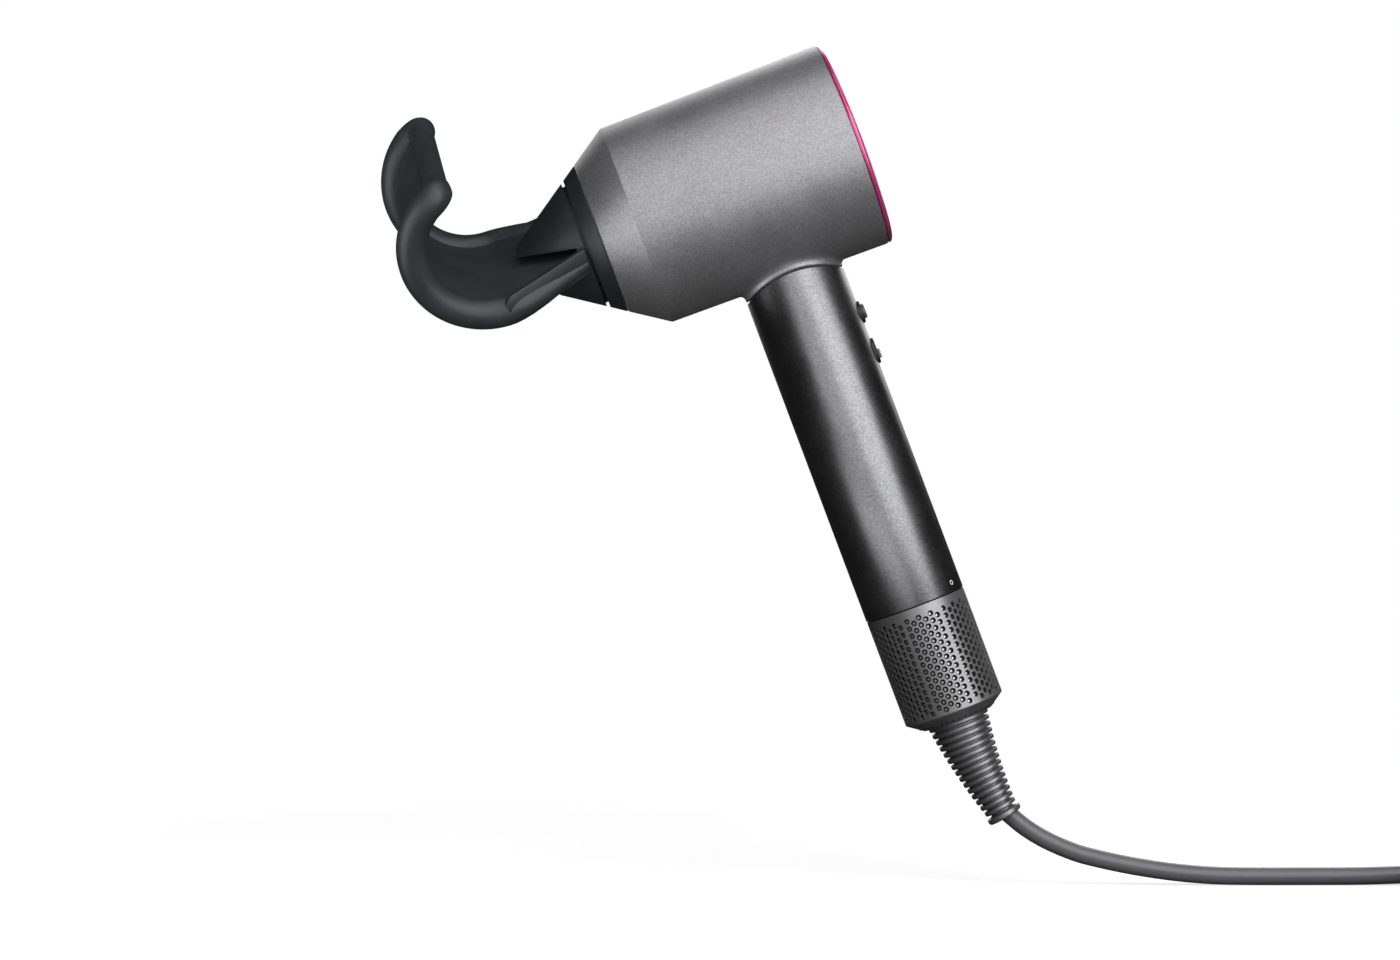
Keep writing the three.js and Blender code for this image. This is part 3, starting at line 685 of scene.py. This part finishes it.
def button_gap_shade():
    """A dark ring in the dish round a button: painted shade for the gap round it."""
    return spun([(3.9, -0.4), (4.3, -0.4), (4.3, 0.07), (3.9, 0.07)], X, 48)


def light_bar():
    """A small window with three lights."""
    outline = rounded([(-4, -0.8, 0.7), (4, -0.8, 0.7), (4, 0.8, 0.7), (-4, 0.8, 0.7)], 5)
    bar = prism(outline, 4.6, edge=0.08, edge_steps=2)
    turn = Matrix.Rotation(math.pi / 2, 4, "X") @ Matrix.Rotation(math.pi / 2, 4, "Y")
    turned(bar, Matrix.Translation((-4.5, 0, 0)) @ turn)
    domes = []
    for y in (-2.6, 0, 2.6):
        dome = bmesh.new()
        bmesh.ops.create_uvsphere(dome, u_segments=16, v_segments=8, radius=0.5)
        domes.append(turned(dome, Matrix.Translation((0, y, 0))))
    return merged(bar, *domes)


for label, button_at, light_at in (("speed", 35, 56), ("temperature", -35, -56)):
    piece(f"{label}_push", dish_button(), HEAD @ in_dish(button_at), "button_plastic", label,
          (f"{label}_button",))
    # Painted shade: a dark ring for the gap round the button.
    piece(f"{label}_well", button_gap_shade(), HEAD @ in_dish(button_at), "dark_plastic", "dryer")
    piece(f"{label}_window", light_bar(), HEAD @ in_dish(light_at), "light_window", "dryer",
          (f"{label}_lights",))


# ---------------------------------------------------------------- handle

TUBE_BOTTOM = -125.3
SEAM_SADDLE = 40.6


def handle_body():
    """The handle's tube, its top hollowed to the drum's curve."""
    inner = HANDLE_R - WALL
    count = 128

    def under_drum(drop):
        return lambda x, y: AXIS_HEIGHT - math.sqrt(SEAM_SADDLE ** 2 - y * y) - drop

    rings = [around(inner, count, TUBE_BOTTOM + 0.2), around(inner + 0.2, count, TUBE_BOTTOM),
             around(HANDLE_R - 0.3, count, TUBE_BOTTOM), around(HANDLE_R - 0.09, count, TUBE_BOTTOM + 0.09),
             around(HANDLE_R, count, TUBE_BOTTOM + 0.3), around(HANDLE_R, count, -60.0),
             around(HANDLE_R, count, under_drum(0.35)), around(HANDLE_R - 0.1, count, under_drum(0.1)),
             around(HANDLE_R - 0.35, count, under_drum(0)), around(inner + 0.2, count, under_drum(0)),
             around(inner, count, under_drum(0.2))]
    rings.append(rings[0])
    return tidy(skinned(rings, ends=False))


piece("handle_body", handle_body(), HANDLE, "handle_paint", "dryer",
      ("handle_tube",), 30)
MARK = Matrix.Translation((0, 0, -122.1)) @ Matrix.Rotation(math.radians(-38), 4, "Z")
piece("mark_ring", turned(spun([(0.5, 18.2), (0.9, 18.2), (0.9, 18.53), (0.5, 18.53)], X, 24), MARK),
      HANDLE, "light_window", "dryer", ("alignment_mark",))


def pill(half_long, half_wide):
    """An outline with round ends, long along its Y."""
    straight = half_long - half_wide
    return arc(half_wide, 0, 180, 14, (0, straight)) + arc(half_wide, 180, 360, 14, (0, -straight))


OUT_OF_HANDLE = Matrix.Rotation(math.pi / 2, 4, "Z") @ Matrix.Rotation(math.pi / 2, 4, "X")
COLD_SHOT = Matrix.Translation((0, 0, -20.1))
SLIDER = Matrix.Translation((0, 0, -34.9))

cold_bezel = spun(rounded([(2.9, 15.6), (4.15, 15.6), (4.15, 19.4, 0.5), (3.0, 19.4, 0.35),
                           (3.0, 18.7), (2.9, 18.7)]), X, 48)
piece("cold_shot_surround", turned(cold_bezel, COLD_SHOT), HANDLE, "dark_plastic", "dryer",
      ("cold_shot_bezel",))
cold_push = spun(rounded([(0, 13.6), (2.7, 13.6), (2.7, 20.5, 0.5), (2.1, 20.5, 0.4), (0, 20.25)]),
                 X, 40, open_ends=True)
piece("cold_shot_push", turned(cold_push, COLD_SHOT), HANDLE, "button_plastic", "cold_shot",
      ("cold_shot_button",))


def slider_surround():
    """A pill-shaped frame with a sunk floor that the thumb piece slides on."""
    outside = pill(4.8, 3.7)
    inside = pill(3.75, 2.25)
    levels = [(outside, 15.6), (outside, 19.1), (pill(4.6, 3.5), 19.4), (pill(3.95, 2.45), 19.4),
              (inside, 19.2), (inside, 18.75)]
    rings = [[Vector((p[0], p[1], level)) for p in ring] for ring, level in levels]
    return skinned(rings)


piece("slider_surround", turned(slider_surround(), SLIDER @ OUT_OF_HANDLE), HANDLE,
      "dark_plastic", "dryer", ("power_slider_bezel",), 30)

THUMB_REST = -1.45


def slider_thumb():
    """The thumb piece, ridged across."""
    steps = 4
    side = [(-1.7, 13.6), (1.7, 13.6)]
    pitch = 3.4 / steps
    for k in range(steps):
        top = 1.7 - k * pitch
        side += [(top, 19.9), (top - 0.2 * pitch, 20.4), (top - 0.7 * pitch, 20.4)]
    side.append((-1.7, 19.9))
    bm = prism(side, 3.4)
    turned(bm, Matrix.Translation((0, 1.7, THUMB_REST)) @ Matrix.Rotation(math.pi / 2, 4, "X")
           @ Matrix(((0, 1, 0, 0), (1, 0, 0, 0), (0, 0, 1, 0), (0, 0, 0, 1))))
    bmesh.ops.recalc_face_normals(bm, faces=bm.faces)
    return bm


piece("slider_thumb", turned(slider_thumb(), SLIDER), HANDLE, "button_plastic", "slider",
      ("power_slider",), 25)

# ---------------------------------------------------------------- filter cage and boot

CAGE_R = 18.4
CAGE_WALL = 0.8
CAGE_TOP = -125.6
CAGE_LOW = -164.9
CAGE_CORNER = -165.4
CAGE_BOTTOM = -169.2
FILTER_R = 17.2
FILTER_TOP, FILTER_LOW = -127, -164.6
HOLE_R = 1.05
COLUMN = 2.275
STRIP = 0.8
ROW_PITCH = 2.72
ROWS = 13
GROUPS_ROUND = 8
COLUMNS_IN_GROUP = 6
FIRST_ROW = 4.1


def square_point(k):
    """Sixteen points round a cell's edge, as fractions of its half width and half height."""
    side, t = divmod(k, 4)
    step = -1 + t / 2
    return [(1, step), (-step, 1), (-1, -step), (step, -1)][side]


def flat_cell(bm, across, down):
    """One cell of the sheet: a round hole in a rectangle."""
    edge_points = [square_point(k) for k in range(16)]
    outer = [bm.verts.new((across + u * COLUMN / 2, down + v * ROW_PITCH / 2, 0))
             for u, v in edge_points]
    inner = []
    for u, v in edge_points:
        way = Vector((u * COLUMN, v * ROW_PITCH, 0)).normalized()
        inner.append(bm.verts.new(Vector((across, down, 0)) + way * HOLE_R))
    loops = [[bm.edges.new(p) for p in zip(ring, ring[1:] + ring[:1])] for ring in (outer, inner)]
    bmesh.ops.bridge_loops(bm, edges=loops[0] + loops[1])


def flat_blank(bm, left, right, high, low, pieces):
    """A plain part of the sheet, split evenly so that it meets its neighbours."""
    cuts = [high + (low - high) * k / pieces for k in range(pieces + 1)]
    columns = 4 if right - left > 1 else 1
    spots = [left + (right - left) * k / columns for k in range(columns + 1)]
    for x0, x1 in zip(spots, spots[1:]):
        for y0, y1 in zip(cuts, cuts[1:]):
            corners = [(x0, y0), (x1, y0), (x1, y1), (x0, y1)]
            bm.faces.new([bm.verts.new((x, y, 0)) for x, y in corners])


def rolled(bm, radius):
    """Rolls a flat sheet round the handle's axis; its middle faces the near side."""
    for v in bm.verts:
        a = v.co.x / CAGE_R - math.pi / 2
        r = radius + v.co.z
        v.co = (r * math.cos(a), r * math.sin(a), v.co.y)


def hole_places():
    """The middle of every hole, on the flat sheet."""
    for g in range(GROUPS_ROUND):
        start = g * (COLUMNS_IN_GROUP * COLUMN + STRIP) - COLUMNS_IN_GROUP * COLUMN / 2
        for c in range(COLUMNS_IN_GROUP):
            first = TUBE_BOTTOM - FIRST_ROW - (ROW_PITCH / 2 if c % 2 else 0)
            for row in range(ROWS):
                yield start + (c + 0.5) * COLUMN, first - row * ROW_PITCH


def perforated_sheet():
    """The cage's wall: groups of staggered holes between plain strips, rolled into a tube."""
    bm = bmesh.new()
    for across, down in hole_places():
        flat_cell(bm, across, down)
    group_width = COLUMNS_IN_GROUP * COLUMN
    for g in range(GROUPS_ROUND):
        start = g * (group_width + STRIP) - group_width / 2
        for c in range(COLUMNS_IN_GROUP):
            left = start + c * COLUMN
            top = TUBE_BOTTOM - FIRST_ROW + (0 if c % 2 else ROW_PITCH / 2)
            flat_blank(bm, left, left + COLUMN, CAGE_TOP, top, 3)
            flat_blank(bm, left, left + COLUMN, top - ROWS * ROW_PITCH, CAGE_LOW, 3)
        flat_blank(bm, start + group_width, start + group_width + STRIP, CAGE_TOP, CAGE_LOW, 40)
    rolled(bm, CAGE_R)
    tidy(bm, 0.005)
    inwards = 1 - CAGE_WALL / CAGE_R
    bmesh.ops.scale(bm, verts=doubled(bm, bm.faces[:]), vec=(inwards, inwards, 1))
    bmesh.ops.recalc_face_normals(bm, faces=bm.faces)
    return bm


def cage_foot():
    """The plain chamfered foot under the perforated wall."""
    outline = rounded([(CAGE_R - CAGE_WALL, CAGE_LOW), (CAGE_R, CAGE_LOW), (CAGE_R, CAGE_CORNER, 0.6),
                       (13, CAGE_BOTTOM, 0.5), (12, CAGE_BOTTOM, 0.2), (12, CAGE_BOTTOM + 1)])
    return spun(outline, Z, 128)


cage_body = merged(perforated_sheet(), cage_foot())
piece("perforated_cage", cage_body, HANDLE, "cage_paint", "cage",
      ("filter_cage",), 35)


def pinhole_shade_discs():
    """A ring of tiny black discs round the foot of the cage: painted shade that stands in for tiny holes.
    """
    dots = []
    count = 40
    slope = math.atan2(CAGE_R - 13, CAGE_CORNER - CAGE_BOTTOM)
    for k in range(count):
        dot = bmesh.new()
        bmesh.ops.create_circle(dot, cap_ends=True, segments=10, radius=0.5)
        bmesh.ops.translate(dot, verts=doubled(dot, dot.faces[:]), vec=(0, 0, 0.1))
        bmesh.ops.recalc_face_normals(dot, faces=dot.faces)
        place = (Matrix.Rotation(math.tau * k / count, 4, "Z")
                 @ Matrix.Translation((14.4, 0, -168.22))
                 @ Matrix.Rotation(math.pi - slope, 4, "Y")
                 @ Matrix.Translation((0, 0, -0.05)))
        dots.append(turned(dot, place))
    return merged(*dots)


# Painted shade: black discs where tiny holes would be.
piece("foot_pinholes", pinhole_shade_discs(), HANDLE, "black_rubber", "cage")


def painted_hole_highlights():
    """Painted highlights: a small bright disc behind each hole, set a little off its middle, that stands in
    for the wire cloth's reflection.
    """
    bm = bmesh.new()
    for across, down in hole_places():
        place = Matrix.Translation((across - 0.12, down - 0.1, 0))
        bmesh.ops.create_circle(bm, cap_ends=True, segments=8, radius=0.42, matrix=place)
    rolled(bm, FILTER_R + 0.1)
    for face in bm.faces:
        middle = face.calc_center_median()
        if face.normal.dot(Vector((middle.x, middle.y, 0))) < 0:
            face.normal_flip()
    return bm


wire_filter = rounded([(FILTER_R - 0.5, FILTER_LOW), (FILTER_R, FILTER_LOW, 0.15),
                       (FILTER_R, FILTER_TOP, 0.15), (FILTER_R - 0.5, FILTER_TOP)])
piece("wire_filter", spun(wire_filter, Z, 96), HANDLE, "wire_cloth_painted_shade", "dryer", ("mesh_filter",))
# Painted highlights: bright steel discs behind the cage's holes.
piece("filter_spots", painted_hole_highlights(), HANDLE, "bare_steel", "dryer")

BOOT_TOP, BOOT_BOTTOM, BOOT_RIBS = -169, -208.2, 15
BOOT_WIDE, BOOT_NARROW = 11.2, 6.1
BOOT_BEND = 3.8


def cord_boot():
    """A ribbed cone that bends away from the handle's axis."""
    pitch = (BOOT_TOP - BOOT_BOTTOM - 2.4) / BOOT_RIBS
    outline = [(0, BOOT_BOTTOM), (3.3, BOOT_BOTTOM), (6.1, BOOT_BOTTOM, 0.3),
               (6.5, BOOT_BOTTOM + 0.5, 0.3), (6.5, BOOT_BOTTOM + 1.9, 0.3), (5.2, BOOT_BOTTOM + 2.1)]
    for i in reversed(range(BOOT_RIBS)):
        crest = BOOT_WIDE + (BOOT_NARROW - BOOT_WIDE) * i / (BOOT_RIBS - 1)
        high = BOOT_TOP - i * pitch
        outline += [(crest - 1.8, high - pitch + 0.05), (crest - 1.7, high - 0.72 * pitch, 0.1),
                    (crest, high - 0.66 * pitch, 0.4), (crest, high - 0.06 * pitch, 0.4)]
    outline += [(10, BOOT_TOP), (6, BOOT_TOP), (6, -160), (0, -160)]
    bm = spun(rounded(outline, 3), Z, 56, open_ends=True)
    reach = BOOT_TOP - BOOT_BOTTOM
    for v in bm.verts:
        along = max(0, BOOT_TOP - v.co.z)
        lean = math.atan(2 * BOOT_BEND * along / reach ** 2)
        across = v.co.x
        v.co.x = BOOT_BEND * (along / reach) ** 2 + across * math.cos(lean)
        v.co.z += across * math.sin(lean)
    bmesh.ops.recalc_face_normals(bm, faces=bm.faces)
    return bm


piece("cord_boot", cord_boot(), HANDLE, "boot_plastic", "dryer", ("boot",), 42)


# ---------------------------------------------------------------- smoothing attachment
# In the nose's frame f is the distance forward of the nose's edge, and x = -f.

CONE_SLOPE = math.tan(math.radians(34))
RAIL_R, TIP_R, RAIL_ARC, RAIL_F, RAIL_Z, RAIL_SIDE = 5.5, 4.1, 26, 38.5, 26, 33
RAIL_SPAN = 160  # degrees of arc from the rail's lowest point to its tip
RAIL_FLARE = 3.5
BLADE_END = 63  # where the blade stops on that arc, its lowest point being at -90
BLADE_FLARE = 0.12
CONE_BACK = 6.7
CONE_WALL = 1.8


def cone_radius(f):
    """The nozzle's outer radius at a distance in front of the nose."""
    return NOSE_R - CONE_SLOPE * f


def magnet_collar():
    """The ring that the magnets hold on the head, stepped inside for the magnet ring."""
    outline = rounded([(22.4, -5.6, 0.3), (cone_radius(5.6), -5.6, 0.35),
                       (cone_radius(0.05), -0.05, 0.35), (24.6, -0.05, 0.2), (24.6, -2.9),
                       (22.4, -2.9)])
    return spun(outline, X, 128)


piece("magnet_collar", magnet_collar(), NOSE, "nozzle_plastic", "attachment_ring",
      ("attachment_collar",))


def cone_shell(front):
    """The nozzle's thin cone, from behind its groove to a distance in front."""
    outline = [(cone_radius(front) - CONE_WALL, -front), (cone_radius(front), -front),
               (cone_radius(CONE_BACK), -CONE_BACK), (cone_radius(CONE_BACK) - CONE_WALL, -CONE_BACK)]
    return spun(outline, X, 144)


def tilted(f0, z0, f1, z1):
    """A plane across the nozzle through two points of its side view: (a point, its upward normal)."""
    slope = Vector((-(f1 - f0), 0, z1 - z0)).normalized()
    up = Vector((-slope.z, 0, slope.x))
    return Vector((-f0, 0, z0)), up if up.z > 0 else -up


def deflector():
    """The upper half of the nozzle, cut off along a plane that falls slightly to its tip."""
    point, up = tilted(0, 8.3, 36.4, 5.9)
    return soften(kept(cone_shell(29.9), point, -up), 0.35, 2, 40)


def nozzle_half():
    """The lower half of the nozzle."""
    return soften(kept(cone_shell(21), Vector((0, 0, 2)), Z), 0.3, 2, 40)


def inner_sleeve():
    """The sleeve inside the nozzle that reaches into the magnet collar and closes the groove."""
    outline = [(20.6, -9.5), (20.9, -9.5), (22.1, -CONE_BACK), (22.1, -1), (20.6, -1)]
    return spun(outline, X, 96)


piece("nozzle_deflector", deflector(), NOSE, "nozzle_plastic", "attachment",
      ("nozzle_upper_shell",), 35)
piece("nozzle_base", merged(nozzle_half(), inner_sleeve()), NOSE, "nozzle_plastic", "attachment",
      ("nozzle_lower_shell",), 35)

SIDE_VIEW = Matrix(((-1, 0, 0, 0), (0, 0, 1, 0), (0, 1, 0, 0), (0, 0, 0, 1)))


def air_scoop():
    """One curved plate: the ramp under the nozzle runs on into the blade between the rails."""
    wide, narrow = 29.0, 21.0
    centre = (RAIL_F, RAIL_Z)
    top = [(CONE_BACK, 3.7), (22, 3.2)] + arc(RAIL_ARC - 2.6, -90, BLADE_END, 56, centre)
    under = arc(RAIL_ARC + 0.6, BLADE_END, -90, 56, centre) + [(22, 0.1), (CONE_BACK, 0.7)]
    bm = prism(top + under, 2 * wide, edge=0.7)
    turned(bm, Matrix.Translation((0, 0, -wide)))
    turned(bm, SIDE_VIEW)
    for v in bm.verts:
        behind = max(0, RAIL_F + v.co.x) / (RAIL_F - CONE_BACK)
        v.co.y *= 1 + (narrow / wide - 1) * behind
        if behind == 0:
            up_the_arc = math.atan2(v.co.z - RAIL_Z, -v.co.x - RAIL_F) + math.pi / 2
            v.co.y *= 1 + BLADE_FLARE * (up_the_arc / math.radians(RAIL_SPAN)) ** 2
    bmesh.ops.recalc_face_normals(bm, faces=bm.faces)
    return bm


piece("air_scoop", air_scoop(), NOSE, "soft_plastic", "attachment",
      ("smoothing_blade",), 35)


def rail_point(side, t):
    """A point on a side rail's middle line; t runs from its lowest point to the tip."""
    a = math.radians(RAIL_SPAN * t - 90)
    return Vector((-RAIL_F - RAIL_ARC * math.cos(a), side * (RAIL_SIDE + RAIL_FLARE * t * t),
                   RAIL_Z + RAIL_ARC * math.sin(a)))


def root(side):
    """The rail's root: along the scoop's edge to the nozzle, thinner towards it (place, radius)."""
    points = [(8.5, 21.6, 2.0, 3.0), (14, 23.9, 1.5, 3.4), (20, 26.4, 0.9, 4.0), (26, 29.0, 0.45, 4.7),
              (32, 31.3, 0.12, 5.2), (35.5, 32.4, 0.03, 5.4)]
    return [(Vector((-f, side * y, z)), r) for f, y, z, r in points]


def round_rail():
    """One bar: from the nozzle, up the near rail, across the tip, and down the far rail."""
    elbow = 6.0
    near = [rail_point(-1, k / 48) for k in range(49)]
    far = [rail_point(1, k / 48) for k in range(48, -1, -1)]
    corner_near, corner_far = near[-1], far[0]
    near = [p for p in near if (p - corner_near).length > elbow]
    far = [p for p in far if (p - corner_far).length > elbow]

    def bend(start, corner, end):
        return [start * (1 - t) ** 2 + corner * 2 * t * (1 - t) + end * t ** 2
                for t in (k / 8 for k in range(9))]

    bar_start = corner_near + Y * elbow
    bar_end = corner_far - Y * elbow
    path = near + bend(near[-1], corner_near, bar_start)[1:]
    path += [bar_start.lerp(bar_end, k / 16) for k in range(1, 16)]
    path += bend(bar_end, corner_far, far[0]) + far[1:]
    radii = []
    for p in path:
        from_corner = min((p - corner_near).length, (p - corner_far).length)
        on_bar = abs(p.y) < RAIL_SIDE - 1
        radii.append(TIP_R + (RAIL_R - TIP_R) * (1 - ease(from_corner / 11)) if on_bar else RAIL_R)
    near_root, far_root = root(-1), root(1)[::-1]
    path = [p for p, r in near_root] + path + [p for p, r in far_root]
    radii = [r for p, r in near_root] + radii + [r for p, r in far_root]
    return swept(path, radii, 32)


piece("round_rail", round_rail(), NOSE, "soft_plastic", "attachment", ("rim_rail",))

ARM_TURN = {-1: math.radians(24.5), 1: math.radians(20.5)}  # near and far
ARM_ROOT = (-7.3, 22.9)


def strap(side, outline, thick, outward):
    """A flat strap seen from the side, set along the arm's line; outward moves it off that line."""
    bm = prism(outline, thick, edge=0.45)
    turned(bm, Matrix.Translation((0, 0, -thick / 2)))
    turned(bm, SIDE_VIEW)
    bmesh.ops.recalc_face_normals(bm, faces=bm.faces)
    turned(bm, Matrix.Translation((0, side * outward, 0)))
    return turned(bm, Matrix.Translation((ARM_ROOT[0], side * ARM_ROOT[1], 0))
                  @ Matrix.Rotation(-side * ARM_TURN[side], 4, "Z"))


def strap_arm(side):
    """The arm's tongue from the nozzle's ring over the rail, and a sunk lip under it."""
    end = 31.8
    lift = 2.6 if side < 0 else -1.5
    tongue = [(0, 0.9), (end, lift - 3.7)] + arc(3.7, -90, 90, 14, (end, lift))[1:] + [(0, 7.8)]
    lip = [(0, -1.7), (end - 3, -4.2)] + arc(2.8, -90, 90, 10, (end - 3, -1.4))[1:] + [(0, 3.5)]
    return merged(strap(side, tongue, 2.4, 0), strap(side, lip, 2.0, -0.7))


for label, side in (("near", -1), ("far", 1)):
    piece(f"strap_arm_{label}", strap_arm(side), NOSE, "nozzle_plastic", "attachment",
          (f"side_arm_{label}",), 35)

# ---------------------------------------------------------------- pieces inside

INSIDE = {
    "bare_steel": ("heat_shield", "thermal_cutout", "motor_can", "stator", "bearing_top",
                   "bearing_bottom", "motor_shaft", "cap_screw_1", "cap_screw_2"),
    "cast_alloy": ("impeller", "vane_hub"),
    "magnet_plating": ("seat_magnet_ring", "attachment_magnet_ring", "rotor_magnet"),
    "circuit_board": ("control_board", "motor_board", "switch_board"),
    "mica_sheet": ("heater_former",),
    "heater_wire": ("heater_coil",),
    "open_foam": ("acoustic_sleeve",),
    "black_rubber": ("motor_mount_top", "motor_mount_bottom"),
    "dark_plastic": ("ion_emitter", "neck_ring", "filter_frame", "end_cap"),
    "cord_sheath": ("inner_lead",),
}
for finish_name, names in INSIDE.items():
    for name in names:
        shape = frame["nodes"][name].data
        shape.materials.clear()
        shape.materials.append(FINISH[finish_name])

HEAD_PIECES = [thing for thing in bpy.context.scene.objects
               if thing.name in ("drum_and_neck", "pink_liner")
               or thing.get("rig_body") in ("attachment", "attachment_ring")]
BACK_PIECES = [thing for thing in bpy.context.scene.objects
               if thing.get("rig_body") not in ("attachment", "attachment_ring")]
HANDLE_PIECES = [bpy.data.objects[name] for name in ("handle_body", "mark_ring")]


# ---------------------------------------------------------------- floor, light and sky

TABLE_Z = COIL_BOTTOM - 1.1
FLOOR_RADIUS = 0.7
DRYER_MIDDLE = Vector((0.03, 0, -0.06))
HANDLE_FOOT = HANDLE @ Vector((0, 0, -142))


def pale_floor():
    """A white disc under it all: bright to the camera, dim as a reflector, clear from below."""
    material = bpy.data.materials.new("pale_floor")
    material.use_nodes = True
    tree = material.node_tree
    surface = tree.nodes["Principled BSDF"]
    surface.inputs["Roughness"].default_value = 0.9
    surface.inputs["Specular IOR Level"].default_value = 0.1
    surface.inputs["Emission Color"].default_value = (1, 1, 1, 1)
    where = node(tree, "ShaderNodeTexCoord").outputs["Object"]
    away = node(tree, "ShaderNodeVectorMath", {0: where}, operation="LENGTH").outputs["Value"]
    glow = spread(tree, away, 0.7, 1.0, 0.3, 1.2)
    seen = node(tree, "ShaderNodeLightPath").outputs["Is Camera Ray"]
    tree.links.new(maths(tree, "MULTIPLY", glow, seen), surface.inputs["Emission Strength"])
    tree.links.new(spread(tree, seen, 0.06, 0.85), surface.inputs["Base Color"])
    below = node(tree, "ShaderNodeNewGeometry").outputs["Backfacing"]
    tree.links.new(maths(tree, "SUBTRACT", 1.0, below), surface.inputs["Alpha"])
    bm = bmesh.new()
    bmesh.ops.create_circle(bm, cap_ends=True, segments=96, radius=FLOOR_RADIUS)
    mesh = bpy.data.meshes.new("floor")
    bm.to_mesh(mesh)
    bm.free()
    mesh.materials.append(material)
    floor = bpy.data.objects.new("floor", mesh)
    floor.location.z = (TABLE_Z - 0.1) * MM
    bpy.context.scene.collection.objects.link(floor)


def sky():
    """White to the camera, and nearly dark to everything else."""
    world = bpy.data.worlds.new("sky")
    world.use_nodes = True
    bpy.context.scene.world = world
    tree = world.node_tree
    seen = node(tree, "ShaderNodeLightPath").outputs["Is Camera Ray"]
    background = tree.nodes["Background"]
    background.inputs["Color"].default_value = (1, 1, 1, 1)
    tree.links.new(spread(tree, seen, 0.02, 1.0), background.inputs["Strength"])


def soft_light(name, azimuth, elevation, distance, width, height, power, only=(), aim=DRYER_MIDDLE):
    """A soft box; its azimuth is measured from the camera's side, to the right."""
    a, e = math.radians(azimuth), math.radians(elevation)
    way = Vector((math.sin(a) * math.cos(e), -math.cos(a) * math.cos(e), math.sin(e)))
    data = bpy.data.lights.new(name, "AREA")
    data.shape = "RECTANGLE"
    data.size = width
    data.size_y = height
    data.energy = power
    light = bpy.data.objects.new(name, data)
    light.location = aim + way * distance
    light.rotation_euler = way.to_track_quat("Z", "Y").to_euler()
    light.visible_camera = False
    bpy.context.scene.collection.objects.link(light)
    if only:
        lit = bpy.data.collections.new(name + "_lit")
        for thing in only:
            lit.objects.link(thing)
        light.light_linking.receiver_collection = lit
        light.light_linking.blocker_collection = lit


pale_floor()
sky()
soft_light("front_right", 35, 15, 1.7, 1.5, 2.1, 26)
soft_light("front_left", -12, 8, 1.7, 1.4, 2.4, 13)
soft_light("table_glow", -20, -12, 0.25, 0.25, 0.08, 0.11, only=HANDLE_PIECES, aim=HANDLE_FOOT)
soft_light("low_left", -66, -12, 1.0, 0.7, 0.8, 4.5, only=HEAD_PIECES)
soft_light("overhead", 0, 62, 1.5, 1.2, 1.2, 7)
soft_light("back_right", 165, 30, 1.8, 1.4, 1.3, 10, only=BACK_PIECES)
soft_light("back_left", -166, 24, 1.8, 1.3, 1.5, 8, only=BACK_PIECES)
bpy.context.scene.view_settings.view_transform = "Standard"
